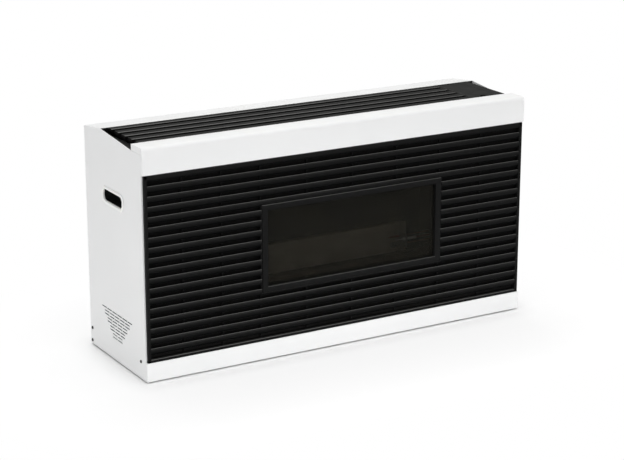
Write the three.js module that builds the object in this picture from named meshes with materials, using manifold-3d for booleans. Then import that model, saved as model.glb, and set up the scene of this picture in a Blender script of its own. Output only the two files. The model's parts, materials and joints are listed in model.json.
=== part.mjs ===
// A wall mounted gas heater: a white sheet casing with a black louvred front, a window on the fire,
// a slatted warm air outlet on top, and the controls under a lid at the outlet's right end.
// Millimetres, +Z up. X runs along the wall, the front faces -Y and the wall is at +Y.
// The origin is at the middle of the footprint, on the surface that the feet stand on.
import * as THREE from 'three';
import { mergeVertices } from 'three/addons/utils/BufferGeometryUtils.js';
import Module from 'manifold-3d';

const wasm = await Module();
wasm.setup();

// ---- Driving dimensions ----
const WIDTH = 940;
const HEIGHT = 500;
const DEPTH = 284;
const LEFT = -WIDTH / 2;
const RIGHT = WIDTH / 2;
const FRONT = -DEPTH / 2;
const BACK = DEPTH / 2;
const SHEET = 1.2; // thickness of the casing's steel sheet
const FIT = 0.4; // gap between neighbouring pieces
const SKIRT = 3; // the casing's lower edge above the floor

const RAIL_DEPTH = 7; // how far the rails and the grille stand before the side panels
const LOWER_RAIL_TOP = 44;
const UPPER_RAIL_BOTTOM = 443;
const UPPER_RAIL_TOP_DEPTH = 50; // the upper rail's top face, front to back
const RAIL_RADIUS = 8; // rounded front edge of the upper rail
const SIDE_TOP = 486; // the side panel's edge at the outlet's front
const DECK_FRONT = FRONT + 202;
const DECK_REAR_HEIGHT = 490;

const GRILLE_SIDE_INSET = 3.5;
const GRILLE_SIDE_BORDER = 6.5;
const GRILLE_TOP_BORDER = 14;
const GRILLE_BOTTOM_BORDER = 7;
const LOUVRE_COUNT = 17;
const LOUVRE_PITCH = 21.6;
const FIRST_LOUVRE_TOP = 419.8;
const LOUVRE_RADIUS = 12; // the blade's bowed outer face
const LOUVRE_THICKNESS = 2.2;
const LOUVRE_UP = 22; // the bow runs from this angle above level
const LOUVRE_DOWN = 60; // to this angle below it
const POST_WIDTH = 4;
const POST_DEPTH = [FRONT + 7.6, FRONT + 12]; // the posts stand just behind the blades
const POSTS = [-379, -288, -197, -85, 27, 139, 251, 360];

const WINDOW_X = 27;
const WINDOW_Z = 247.5;
const BEZEL = { width: 448, height: 193, face: 13.5, thickness: 2, depth: 6.8 };
const GLASS = { width: 438, height: 185, front: FRONT + 9, thickness: 4 };
const CLAMP = { width: 446, height: 193, face: 11.5, sheet: 1.4, wall: 2.2 };
const SHIELD = { front: FRONT + 12.6, edge: RIGHT - 3.4, bottom: 38, top: 478, flange: 11 };

const SLAT_COUNT = 5;
const SLAT_WIDTH = 17.5;
const SLAT_THICKNESS = 6;
const SLAT_END = 18; // from the casing's side to the slats' ends
const OUTLET_FRONT = FRONT + UPPER_RAIL_TOP_DEPTH + 0.8;
const OUTLET_BACK = DECK_FRONT - 0.8;
const OUTLET_BASE = 482;
const OUTLET_RIB_SPACING = 155;
const PLATE_LEFT = 365.5; // the plain plate round the lid
const PLATE_THICKNESS = 3;
const PLATE_LINK = [445, 448]; // the web under the plate's right end
const UPSTAND = 1.6; // the outlet's black edge against the deck
const LID = { left: 369.2, right: 430.6, front: FRONT + 54.8, sheet: 1.8, skirt: 8 };
const LID_AXIS = { y: DECK_FRONT - 9.4, z: 495.8, barrel: 4.2, bore: 1.95, pin: 1.5 };

const GRIP = { y: FRONT + 146, z: 362, width: 92, height: 24, corner: 10, rim: 7.5, proud: 2.4, sleeve: 2.4 };
const GRIP_SLEEVE = 2; // the sleeve's outer margin round the slot
const VENT_ROWS = [6, 5, 5, 4, 4, 3, 3, 2, 2]; // slots in each row, from the top row down
const VENT = { y: FRONT + 144, top: 108.5, rowPitch: 7.1, slotPitch: 25.5, length: 22.5, height: 2.6 };
const SIDE_SCREWS = [['front', FRONT + 28, 41], ['rear_high', BACK - 10, 40], ['rear_low', BACK - 8, 11]];
const SCREW_HOLE = 2.3;

const CHAMBER = { left: -253, right: 307, front: FRONT + 16.6, back: 24.6, bottom: 96, top: 400, wall: 1.5 };
const BURNER = { y: -50, z: 140, radius: 17, wall: 1.2, left: -232, right: 332 };
const BURNER_PORTS = { count: 11, pitch: 38, margin: 30, width: 2.5, length: 10 };
const INJECTOR_SEAT = 354; // the outer face of the injector's bracket
const FINS = { count: 10, pitch: 56.7, margin: 24, sheet: 2, height: 48 };
const FLUE = { x: 27, z: 352, radius: 38, wall: 1.5 };
const AIR_BOX = { halfWidth: 87, back: 127.6, bottom: 100, top: 432 };
const DEFLECTOR = { left: -440, right: 340, radius: 60, z: 416, back: BACK - 12, sweep: 66 };
const AIR_INLET = { radius: 63.5, wall: 1.2 };
const KNOB = { x: 400, y: -47, bottom: 463, height: 20, radius: 14.5 };
const TRAY = { left: 370, right: 430, front: FRONT + 60, back: DECK_FRONT - 10, floor: 456, top: 488, wall: 1.6 };
const IGNITER = { x: 400, y: 18 };
const VALVE = { bottom: 388, top: 427, bonnetTop: 442, halfWidth: 22, halfDepth: 27 };
const UNION = { x: 400, y: 70, z: 60, end: 118 };

// ---- Finishes ----
const finish = (color, roughness, metalness = 0) => ({ color, roughness, metalness });
const WHITE_ENAMEL = finish(0xf1f2f2, 0.4);
const WHITE_PLASTIC = finish(0xf6f6f5, 0.35);
const BLACK_ENAMEL = finish(0x1b1c1d, 0.45);
const BLACK_PLASTIC = finish(0x141516, 0.6);
const DARK_GLASS = finish(0x1c1e20, 0.08);
const ZINC_SHEET = finish(0xb4b8ba, 0.45, 0.9);
const STEEL = finish(0x9a9da0, 0.35, 1);
const BLACKED_STEEL = finish(0x2b2c2d, 0.4, 0.6);
const HEATPROOF_BLACK = finish(0x232323, 0.8);
const CERAMIC = finish(0xb9ab94, 0.9);
const WHITE_CERAMIC = finish(0xece9e2, 0.4);
const ROPE_SEAL = finish(0x8d8a84, 0.95);
const CAST_ALUMINIUM = finish(0xa9acae, 0.5, 1);
const BRASS = finish(0xb5924a, 0.35, 1);
const COPPER = finish(0xb87350, 0.35, 1);
const RED_SILICONE = finish(0x7c2f26, 0.6);

// ---- Solids ----
// A closed geometry as a solid that can be joined and cut.
function solid(geometry) {
  const bare = geometry.index ? geometry.toNonIndexed() : geometry.clone();
  bare.deleteAttribute('normal');
  bare.deleteAttribute('uv');
  const merged = mergeVertices(bare, 1e-4);
  const vertProperties = new Float32Array(merged.attributes.position.array);
  const corners = merged.index.array;
  const kept = [];
  for (let i = 0; i < corners.length; i += 3) {
    const [a, b, c] = corners.slice(i, i + 3);
    if (a !== b && b !== c && c !== a) kept.push(a, b, c);
  }
  const triVerts = new Uint32Array(kept);
  return new wasm.Manifold(new wasm.Mesh({ numProp: 3, vertProperties, triVerts }));
}

const join = (first, ...others) => others.flat().reduce((whole, piece) => whole.add(piece), first);
const cut = (body, ...tools) => tools.flat().reduce((rest, tool) => rest.subtract(tool), body);

function geometryOf(body) {
  const { vertProperties, triVerts } = body.getMesh();
  const geometry = new THREE.BufferGeometry();
  geometry.setAttribute('position', new THREE.BufferAttribute(vertProperties, 3));
  geometry.setIndex(new THREE.BufferAttribute(triVerts, 1));
  return geometry;
}

// A block between two limits on each axis.
function block([x0, x1], [y0, y1], [z0, z1]) {
  const geometry = new THREE.BoxGeometry(x1 - x0, y1 - y0, z1 - z0);
  return solid(geometry.translate((x0 + x1) / 2, (y0 + y1) / 2, (z0 + z1) / 2));
}

// An outline drawn in two axes and carried along the third, from one place to another.
const TURN = {
  x: new THREE.Matrix4().makeBasis(...[[0, 1, 0], [0, 0, 1], [1, 0, 0]].map((v) => new THREE.Vector3(...v))),
  y: new THREE.Matrix4().makeBasis(...[[1, 0, 0], [0, 0, 1], [0, -1, 0]].map((v) => new THREE.Vector3(...v))),
  z: new THREE.Matrix4(),
};
function carried(axis, outline, from, to, options = {}) {
  const settings = { depth: to - from, bevelEnabled: false, ...options };
  const geometry = new THREE.ExtrudeGeometry(outline, settings).applyMatrix4(TURN[axis]);
  const start = { x: [from, 0, 0], y: [0, to, 0], z: [0, 0, from] }[axis];
  return solid(geometry.translate(...start));
}

// A round bar along an axis; at gives its place on the other two axes, in X, Y, Z order.
function rod(axis, radius, from, to, at, sides = 24, endRadius = radius) {
  const geometry = new THREE.CylinderGeometry(endRadius, radius, to - from, sides);
  if (axis === 'x') geometry.rotateZ(-Math.PI / 2);
  if (axis === 'z') geometry.rotateX(Math.PI / 2);
  const middle = (from + to) / 2;
  const [u, v] = at;
  const place = { x: [middle, u, v], y: [u, middle, v], z: [u, v, middle] }[axis];
  return solid(geometry.translate(...place));
}

// Points along an arc about (u, v); the angles are in degrees.
const arc = (u, v, radius, from, to, steps) => Array.from({ length: steps + 1 }, (_, i) => {
  const angle = THREE.MathUtils.degToRad(from + ((to - from) * i) / steps);
  return [u + radius * Math.cos(angle), v + radius * Math.sin(angle)];
});

// A closed outline through points, as a Shape or as a hole's Path.
const outlineOf = (Kind, points) => new Kind(points.map(([u, v]) => new THREE.Vector2(u, v)));
const polygon = (...points) => outlineOf(THREE.Shape, points);

const circle = (u, v, radius, sides, Kind = THREE.Shape) =>
  outlineOf(Kind, arc(u, v, radius, 0, 360, sides).slice(1));

// A rectangle with rounded corners about a centre.
function rounded(u, v, width, height, radius, steps = 2, Kind = THREE.Shape) {
  const corners = [[1, -1, -90], [1, 1, 0], [-1, 1, 90], [-1, -1, 180]];
  return outlineOf(Kind, corners.flatMap(([su, sv, start]) => {
    const cu = u + su * (width / 2 - radius);
    const cv = v + sv * (height / 2 - radius);
    return arc(cu, cv, radius, start, start + 90, steps);
  }));
}

// A rectangular ring about the window's centre, facing the front.
const windowRing = (width, height, border, y0, y1) => cut(
  windowBlock(width, height, y0, y1),
  windowBlock(width - 2 * border, height - 2 * border, y0 - 1, y1 + 1),
);
const windowBlock = (width, height, y0, y1) =>
  block([WINDOW_X - width / 2, WINDOW_X + width / 2], [y0, y1], [WINDOW_Z - height / 2, WINDOW_Z + height / 2]);

// A round tube bent along a smooth line through points.
function bent(radius, points, steps = 18) {
  const path = new THREE.CatmullRomCurve3(points.map((p) => new THREE.Vector3(...p)), false, 'centripetal');
  return solid(new THREE.ExtrudeGeometry(circle(0, 0, radius, 8), { steps, extrudePath: path }));
}

// A helical wire spring standing on a seat.
function spring(radius, wire, from, to, turns, [x, y]) {
  class Helix extends THREE.Curve {
    getPoint(t, target = new THREE.Vector3()) {
      const angle = 2 * Math.PI * turns * t;
      const rise = from + wire + (to - from - 2 * wire) * t;
      return target.set(x + radius * Math.cos(angle), y + radius * Math.sin(angle), rise);
    }
  }
  const options = { steps: turns * 8, extrudePath: new Helix() };
  return solid(new THREE.ExtrudeGeometry(circle(0, 0, wire, 5), options));
}

const mirrored = (body) => body.mirror([1, 0, 0]);

// ---- The heater ----
const heater = new THREE.Group();

function add(group, name, body, look) {
  const material = new THREE.MeshStandardMaterial(look);
  const mesh = new THREE.Mesh(geometryOf(body), material);
  mesh.name = name;
  group.add(mesh);
  return mesh;
}

// ---- Casing ----
function ventSlots() {
  return VENT_ROWS.flatMap((count, row) => {
    const z = VENT.top - row * VENT.rowPitch;
    return Array.from({ length: count }, (_, i) => {
      const y = VENT.y + (i - (count - 1) / 2) * VENT.slotPitch;
      const [along, up] = [VENT.length / 2, VENT.height / 2];
      return block([LEFT - 1, LEFT + SHEET + 1], [y - along, y + along], [z - up, z + up]);
    });
  });
}

// The left panel: beside the outlet its top edge slopes down from the deck to the upper rail.
function sidePanel() {
  const front = FRONT + RAIL_DEPTH + FIT;
  const outletFront = FRONT + UPPER_RAIL_TOP_DEPTH;
  const outline = polygon(
    [front, SKIRT], [BACK, SKIRT], [BACK, DECK_REAR_HEIGHT],
    [DECK_FRONT, HEIGHT], [outletFront, SIDE_TOP], [front, SIDE_TOP],
  );
  outline.holes.push(
    gripOutline(GRIP_SLEEVE + FIT, THREE.Path),
    ...SIDE_SCREWS.map(([, y, z]) => circle(y, z, SCREW_HOLE, 8, THREE.Path)),
  );
  const web = cut(carried('x', outline, LEFT, LEFT + SHEET), ventSlots());
  const rearFlange = block([LEFT, LEFT + 16], [BACK - SHEET, BACK], [SKIRT, DECK_REAR_HEIGHT - 8]);
  const frontFlange = block([LEFT, LEFT + 6], [front, front + SHEET], [SKIRT, SIDE_TOP - 4]);
  return join(web, rearFlange, frontFlange);
}

// A bent sheet as an outline: the outer line, then back along the inner line one sheet in.
function upperRail() {
  const r = RAIL_RADIUS;
  const back = FRONT + UPPER_RAIL_TOP_DEPTH;
  const lip = back - SHEET;
  const bend = [FRONT + r, HEIGHT - r];
  const profile = polygon(
    [FRONT, UPPER_RAIL_BOTTOM], [FRONT + RAIL_DEPTH, UPPER_RAIL_BOTTOM],
    [FRONT + RAIL_DEPTH, UPPER_RAIL_BOTTOM + SHEET], [FRONT + SHEET, UPPER_RAIL_BOTTOM + SHEET],
    ...arc(...bend, r - SHEET, 180, 90, 4),
    [lip, HEIGHT - SHEET], [lip, HEIGHT - 16], [back, HEIGHT - 16], [back, HEIGHT],
    ...arc(...bend, r, 90, 180, 4),
  );
  // The folded lip behind the outlet's front edge stops short of the side panels.
  const sheet = cut(carried('x', profile, LEFT, RIGHT), [[LEFT, 1], [RIGHT, -1]].map(([x, inward]) => {
    const ends = [x - inward, x + inward * 3].sort((a, b) => a - b);
    return block(ends, [lip - 0.5, back + 1], [HEIGHT - 20, SIDE_TOP + FIT]);
  }));
  const end = polygon(
    [FRONT, UPPER_RAIL_BOTTOM], [FRONT + RAIL_DEPTH, UPPER_RAIL_BOTTOM], [FRONT + RAIL_DEPTH, SIDE_TOP + FIT],
    [back, SIDE_TOP + FIT], [back, HEIGHT], ...arc(...bend, r, 90, 180, 4),
  );
  const cap = carried('x', end, LEFT, LEFT + SHEET);
  return join(sheet, cap, mirrored(cap));
}

function lowerRail() {
  const inner = FRONT + SHEET;
  const hollow = block(
    [LEFT + SHEET, RIGHT - SHEET], [inner, FRONT + RAIL_DEPTH + 1], [SKIRT + SHEET, LOWER_RAIL_TOP - SHEET],
  );
  return cut(block([LEFT, RIGHT], [FRONT, FRONT + RAIL_DEPTH], [SKIRT, LOWER_RAIL_TOP]), hollow);
}

function rearDeck() {
  const drop = (HEIGHT - DECK_REAR_HEIGHT) / (BACK - DECK_FRONT);
  const topAt = (y) => HEIGHT - drop * (y - DECK_FRONT);
  const profile = polygon(
    [DECK_FRONT, HEIGHT - 16], [DECK_FRONT + SHEET, HEIGHT - 16],
    [DECK_FRONT + SHEET, topAt(DECK_FRONT + SHEET) - SHEET], [BACK - SHEET, topAt(BACK - SHEET) - SHEET],
    [BACK - SHEET, DECK_REAR_HEIGHT - 7], [BACK, DECK_REAR_HEIGHT - 7], [BACK, DECK_REAR_HEIGHT],
    [DECK_FRONT, HEIGHT],
  );
  return carried('x', profile, LEFT + SHEET + FIT, RIGHT - SHEET - FIT);
}

const FIXING_HOLES = [[-425, 440], [425, 440], [-425, 120], [425, 120]];

function backPanel() {
  const side = 16 + FIT;
  const top = DECK_REAR_HEIGHT - 8;
  const bottom = 6;
  const plateWidth = WIDTH - 2 * side;
  const outline = rounded(0, (top + bottom) / 2, plateWidth, top - bottom, 1, 1);
  outline.holes.push(
    circle(FLUE.x, FLUE.z, AIR_INLET.radius + 2.5, 20, THREE.Path),
    rounded(UNION.x, UNION.z, 70, 60, 6, 2, THREE.Path),
  );
  const fixings = FIXING_HOLES.map(([x, z]) => carried('y', rounded(x, z, 9, 16, 4.4, 2), BACK - 3, BACK + 1));
  const plate = cut(carried('y', outline, BACK - SHEET, BACK), fixings);
  const beads = [200, 460].map((z) => {
    const outer = rod('x', 6, -380, 380, [BACK, z], 8);
    const groove = rod('x', 6 - SHEET, -379, 379, [BACK, z], 8);
    const beyond = block([-400, 400], [BACK, BACK + 10], [z - 10, z + 10]);
    return { bead: cut(outer, beyond), groove };
  });
  const ribbed = join(plate, beads.map(({ bead }) => bead));
  return cut(ribbed, beads.map(({ groove }) => groove));
}

function basePan() {
  const side = LEFT + SHEET + FIT + 0.2;
  const front = FRONT + RAIL_DEPTH + FIT + SHEET + FIT;
  const back = BACK - SHEET - FIT;
  const middle = (front + back) / 2;
  const floorTop = SKIRT + SHEET;
  const footPlaces = [[-420, front + 32], [420, front + 32], [-420, back - 32], [420, back - 32]];
  const airSlots = [-300, -180, -60, 60, 180, 300];
  const slotted = cut(
    block([side, -side], [front, back], [SKIRT, floorTop]),
    airSlots.map((x) => carried('z', rounded(x, middle, 90, 10, 4.9, 1), 0, 10)),
  );
  // Pressed feet: shallow cups whose flat bottoms stand on the floor.
  const feet = footPlaces.map((at) => rod('z', 13, 0, floorTop, at, 10, 17));
  const dimples = footPlaces.map((at) => rod('z', 11.5, SHEET, floorTop + 0.5, at, 10, 16));
  const floor = cut(join(slotted, feet), dimples);
  const high = 58;
  const flange = block([side, side + SHEET], [front, back], [SKIRT, high]);
  const screwHoles = SIDE_SCREWS.map(([, y, z]) => rod('x', SCREW_HOLE, side - 2, side + 4, [y, z], 6));
  const leftFlange = cut(flange, screwHoles);
  const frontFlange = block([side, -side], [front, front + SHEET], [SKIRT, 36]);
  const rearFlange = block([side, -side], [back - SHEET, back], [SKIRT, 26]);
  const unionTab = cut(
    block([UNION.x - 22, UNION.x + 22], [UNION.y + 14, UNION.y + 16], [SKIRT, UNION.z + 22]),
    rod('y', 14, UNION.y, UNION.y + 30, [UNION.x, UNION.z], 12),
  );
  const bulbClips = [262, 318].map((x) => cut(
    block([x - 0.8, x + 0.8], [-118, -102], [SKIRT, 32]),
    rod('x', 4 + FIT, x - 4, x + 4, [-110, 24], 8),
  ));
  return join(floor, leftFlange, mirrored(leftFlange), frontFlange, rearFlange, unionTab, bulbClips);
}

// The hand slot's outline, grown by a margin.
function gripOutline(margin, Kind = THREE.Shape) {
  const { y, z, width, height, corner } = GRIP;
  return rounded(y, z, width + 2 * margin, height + 2 * margin, corner + margin, 3, Kind);
}

// The raised white rim: a rounded bead round the slot and a short sleeve through the panel.
function gripRim() {
  const { rim, proud, sleeve } = GRIP;
  const round = 2;
  const rise = 0.9;
  const ring = (outer, inner, from, to, options) => {
    const outline = gripOutline(outer);
    outline.holes.push(gripOutline(inner, THREE.Path));
    return carried('x', outline, from, to, options);
  };
  const bevel = { bevelEnabled: true, bevelThickness: rise, bevelSize: round, bevelSegments: 1 };
  const bead = ring(rim - round, round, LEFT - proud + rise, LEFT - 0.3 - rise, bevel);
  return join(bead, ring(GRIP_SLEEVE, FIT, LEFT - 1, LEFT + sleeve));
}

// The dark pocket behind the slot, open to the outside.
function gripCup() {
  const start = LEFT + GRIP.sleeve + FIT;
  const depth = 32;
  const outer = carried('x', gripOutline(6), start, start + depth);
  return cut(outer, carried('x', gripOutline(4), start - 1, start + depth - 2));
}

// A pan head screw through the left panel and the base pan's flange behind it.
function sideScrew(y, z) {
  const profile = [[0, -8], [1.8, -8], [1.8, 0.3], [3.6, 0.3], [3.4, 1.4], [2, 2.2], [0, 2.3]];
  const lathe = new THREE.LatheGeometry(profile.map(([r, h]) => new THREE.Vector2(r, h)), 8);
  return solid(lathe.rotateZ(Math.PI / 2).translate(LEFT, y, z));
}

function casing() {
  const group = new THREE.Group();
  const panel = sidePanel();
  add(group, 'side_panel_left', panel, WHITE_ENAMEL);
  add(group, 'side_panel_right', mirrored(panel), WHITE_ENAMEL);
  add(group, 'top_rail', upperRail(), WHITE_ENAMEL);
  add(group, 'bottom_rail', lowerRail(), WHITE_ENAMEL);
  add(group, 'rear_deck', rearDeck(), WHITE_ENAMEL);
  add(group, 'back_panel', backPanel(), ZINC_SHEET);
  add(group, 'base_pan', basePan(), ZINC_SHEET);
  add(group, 'grip_rim_left', gripRim(), WHITE_PLASTIC);
  add(group, 'grip_rim_right', mirrored(gripRim()), WHITE_PLASTIC);
  add(group, 'grip_cup_left', gripCup(), BLACK_PLASTIC);
  add(group, 'grip_cup_right', mirrored(gripCup()), BLACK_PLASTIC);
  for (const [place, y, z] of SIDE_SCREWS) {
    add(group, `side_screw_left_${place}`, sideScrew(y, z), BLACKED_STEEL);
    add(group, `side_screw_right_${place}`, mirrored(sideScrew(y, z)), BLACKED_STEEL);
  }
  return group;
}

// ---- Louvred front ----
// One blade in section: a bowed strip between two arcs about one centre behind it.
function louvreOutline(top) {
  const centreZ = top - LOUVRE_RADIUS * Math.sin(THREE.MathUtils.degToRad(LOUVRE_UP));
  const centre = [FRONT + 0.4 + LOUVRE_RADIUS, centreZ];
  const [from, to] = [180 - LOUVRE_UP, 180 + LOUVRE_DOWN];
  return polygon(
    ...arc(...centre, LOUVRE_RADIUS, from, to, 4),
    ...arc(...centre, LOUVRE_RADIUS - LOUVRE_THICKNESS, to, from, 4),
  );
}

function frontGrille() {
  const left = LEFT + GRILLE_SIDE_INSET;
  const right = RIGHT - GRILLE_SIDE_INSET;
  const bottom = LOWER_RAIL_TOP + FIT;
  const top = UPPER_RAIL_BOTTOM - FIT;
  const deep = [FRONT, FRONT + RAIL_DEPTH];
  const inner = [left + GRILLE_SIDE_BORDER, right - GRILLE_SIDE_BORDER];
  const field = block(
    inner, [FRONT - 1, FRONT + RAIL_DEPTH + 1], [bottom + GRILLE_BOTTOM_BORDER, top - GRILLE_TOP_BORDER],
  );
  const border = cut(block([left, right], deep, [bottom, top]), field);
  const louvres = Array.from({ length: LOUVRE_COUNT }, (_, i) => carried(
    'x', louvreOutline(FIRST_LOUVRE_TOP - i * LOUVRE_PITCH), inner[0] - 1, inner[1] + 1,
  ));
  const posts = POSTS.flatMap((x) => {
    const across = [x - POST_WIDTH / 2, x + POST_WIDTH / 2];
    const foot = [FRONT + RAIL_DEPTH - 1, POST_DEPTH[1]];
    return [
      block(across, POST_DEPTH, [bottom + 2, top - 6]),
      block(across, foot, [bottom + 2, bottom + GRILLE_BOTTOM_BORDER - 1]),
      block(across, foot, [top - GRILLE_TOP_BORDER + 1, top - 6]),
    ];
  });
  // Blades and posts end inside the walls of a sleeve round the window.
  const wall = 2;
  const [width, height] = [BEZEL.width + 2 * FIT, BEZEL.height + 2 * FIT];
  const aperture = windowBlock(width + wall, height + wall, FRONT - 1, FRONT + 14);
  const sleeve = windowRing(width + 2 * wall, height + 2 * wall, wall, FRONT + 2, FRONT + 8.4);
  return join(cut(join(border, louvres, posts), aperture), sleeve);
}

function windowFrame() {
  const { width, height, face, thickness, depth } = BEZEL;
  const wall = 1.5;
  const opening = [width - 2 * face, height - 2 * face];
  return join(
    windowRing(width, height, face, FRONT, FRONT + thickness),
    windowRing(width, height, wall, FRONT, FRONT + depth),
    windowRing(opening[0] + 2 * wall, opening[1] + 2 * wall, wall, FRONT, FRONT + depth),
  );
}

// The black sheet behind the louvres: it hides the chamber and keeps its heat off the grille.
function frontShield() {
  const { front, edge, bottom, top, flange } = SHIELD;
  const sheet = block([-edge, edge], [front, front + 1], [bottom, top]);
  const sideFlange = block([-edge, -edge + 1], [front, front + flange], [bottom, top]);
  const topFlange = block([-edge, edge], [front, front + flange], [top - 1, top]);
  const clear = windowBlock(449, 196, front - 1, front + 2);
  return cut(join(sheet, sideFlange, mirrored(sideFlange), topFlange), clear);
}

function frontParts() {
  const group = new THREE.Group();
  const glassBack = GLASS.front + GLASS.thickness;
  const clampStart = FRONT + BEZEL.depth + FIT;
  add(group, 'front_grille', frontGrille(), BLACK_ENAMEL);
  add(group, 'window_frame', windowFrame(), BLACK_ENAMEL);
  add(group, 'window_glass', windowBlock(GLASS.width, GLASS.height, GLASS.front, glassBack), DARK_GLASS);
  const clamp = join(
    windowRing(CLAMP.width, CLAMP.height, CLAMP.face, clampStart, clampStart + CLAMP.sheet),
    windowRing(CLAMP.width, CLAMP.height, CLAMP.wall, clampStart, CHAMBER.front - FIT),
  );
  add(group, 'glass_clamp', clamp, HEATPROOF_BLACK);
  const seal = windowRing(GLASS.width, GLASS.height, 10, glassBack + FIT, CHAMBER.front - FIT);
  add(group, 'glass_gasket', seal, ROPE_SEAL);
  add(group, 'front_shield', frontShield(), HEATPROOF_BLACK);
  return group;
}

// ---- Slatted outlet on top ----
function slatOutline(y) {
  const base = HEIGHT - SLAT_THICKNESS;
  const round = 1.2;
  return polygon(
    [y, base], [y + SLAT_WIDTH, base], [y + SLAT_WIDTH, HEIGHT - round], [y + SLAT_WIDTH - round, HEIGHT],
    [y + round, HEIGHT], [y, HEIGHT - round],
  );
}

function topGrille() {
  const ends = LEFT + SHEET + 0.6;
  const base = [OUTLET_BASE, OUTLET_BASE + 6];
  const bar = 6;
  const ring = cut(
    block([ends, -ends], [OUTLET_FRONT, OUTLET_BACK], base),
    block([ends + 14, -ends - 14], [OUTLET_FRONT + bar, OUTLET_BACK - bar], [base[0] - 1, base[1] + 1]),
  );
  const upstand = block([ends, -ends], [OUTLET_BACK - UPSTAND, OUTLET_BACK], [base[0], HEIGHT - FIT]);
  const pitch = (OUTLET_BACK - OUTLET_FRONT - SLAT_WIDTH) / (SLAT_COUNT - 1);
  const slats = Array.from({ length: SLAT_COUNT }, (_, i) => carried(
    'x', slatOutline(OUTLET_FRONT + i * pitch), LEFT + SLAT_END, PLATE_LEFT + 1,
  ));
  const rib = (x) => block([x - 1.5, x + 1.5], [OUTLET_FRONT, OUTLET_BACK], [base[0], HEIGHT - 5]);
  const firstRib = LEFT + SLAT_END + 12;
  const ribCount = 1 + Math.floor((PLATE_LEFT - 10 - firstRib) / OUTLET_RIB_SPACING);
  const ribs = Array.from({ length: ribCount }, (_, i) => rib(firstRib + i * OUTLET_RIB_SPACING));
  // The plain plate with a framed opening for the lid.
  const opening = {
    x: [LID.left - FIT, LID.right + FIT],
    y: [LID.front - FIT, LID_AXIS.y + LID_AXIS.barrel + 1.4],
  };
  const wall = 2.4;
  const plateHeight = [HEIGHT - PLATE_THICKNESS, HEIGHT];
  const plate = block([PLATE_LEFT, RIGHT - SLAT_END], [OUTLET_FRONT, OUTLET_BACK], plateHeight);
  const frame = block(
    [opening.x[0] - wall, opening.x[1] + wall], [opening.y[0] - wall, opening.y[1] + wall], [TRAY.top + 0.3, HEIGHT],
  );
  const feet = [opening.y[0] - wall, opening.y[1]].map((y) =>
    block([opening.x[0], opening.x[1]], [y, y + wall], [base[1] - 1, HEIGHT]));
  const links = [[PLATE_LEFT - 2.6, opening.x[0] - wall + 0.2], PLATE_LINK].map((x) =>
    block(x, [OUTLET_FRONT, OUTLET_BACK], [base[0], HEIGHT - 1]));
  const hole = block(opening.x, opening.y, [base[0] - 1, HEIGHT + 1]);
  const pinHoles = rod('x', LID_AXIS.pin + FIT, opening.x[0] - 1.9, opening.x[1] + 1.9, [LID_AXIS.y, LID_AXIS.z], 10);
  return cut(join(ring, upstand, slats, ribs, plate, frame, feet, links), hole, pinHoles);
}

// The lid: a shallow tray turned over, with a barrel along its rear edge and a finger notch at its front.
function controlLid() {
  const { left, right, front, sheet, skirt } = LID;
  const { y, z, barrel, bore } = LID_AXIS;
  const top = z + barrel;
  const plate = block([left, right], [front, y], [top - sheet, top]);
  const skirtBack = y - 5;
  const skirts = cut(
    block([left, right], [front, skirtBack], [top - skirt, top - 0.5]),
    block([left + 1.6, right - 1.6], [front + 1.6, skirtBack + 1], [top - skirt - 1, top - sheet]),
  );
  const tube = rod('x', barrel, left, right, [y, z], 20);
  const hole = rod('x', bore, left - 1, right + 1, [y, z], 12);
  const notch = rod('z', 11, top - skirt - 1, top + 1, [(left + right) / 2, front - 1], 24);
  return cut(join(plate, skirts, tube), hole, notch);
}

function controlTray() {
  const { left, right, front, back, floor, top, wall } = TRAY;
  const outer = block([left, right], [front, back], [floor, top]);
  const hollow = block([left + wall, right - wall], [front + wall, back - wall], [floor + 2, top + 1]);
  const rim = block([left - 3.2, right + 3.2], [front - 2.8, back + 2.8], [top - SHEET, top]);
  const spindleHole = rod('z', 7.2, floor - 1, floor + 4, [KNOB.x, KNOB.y], 14);
  const igniterHole = rod('z', 9.2, floor - 1, floor + 4, [IGNITER.x, IGNITER.y], 14);
  return cut(join(outer, rim), hollow, spindleHole, igniterHole);
}

function outletParts() {
  const group = new THREE.Group();
  add(group, 'top_grille', topGrille(), BLACK_ENAMEL);
  add(group, 'control_lid', controlLid(), BLACK_ENAMEL);
  const pinEnds = [LID.left - FIT - 1.7, LID.right + FIT + 1.7];
  add(group, 'lid_hinge_pin', rod('x', LID_AXIS.pin, ...pinEnds, [LID_AXIS.y, LID_AXIS.z], 10), STEEL);
  add(group, 'control_tray', controlTray(), BLACK_PLASTIC);
  return group;
}

// ---- Combustion chamber, burner and flue ----
const PILOT = { y: -26, z: 166 };
const ELECTRODE = { y: -38, z: 180 };
const PROBE = { y: -12, z: 180 };

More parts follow.
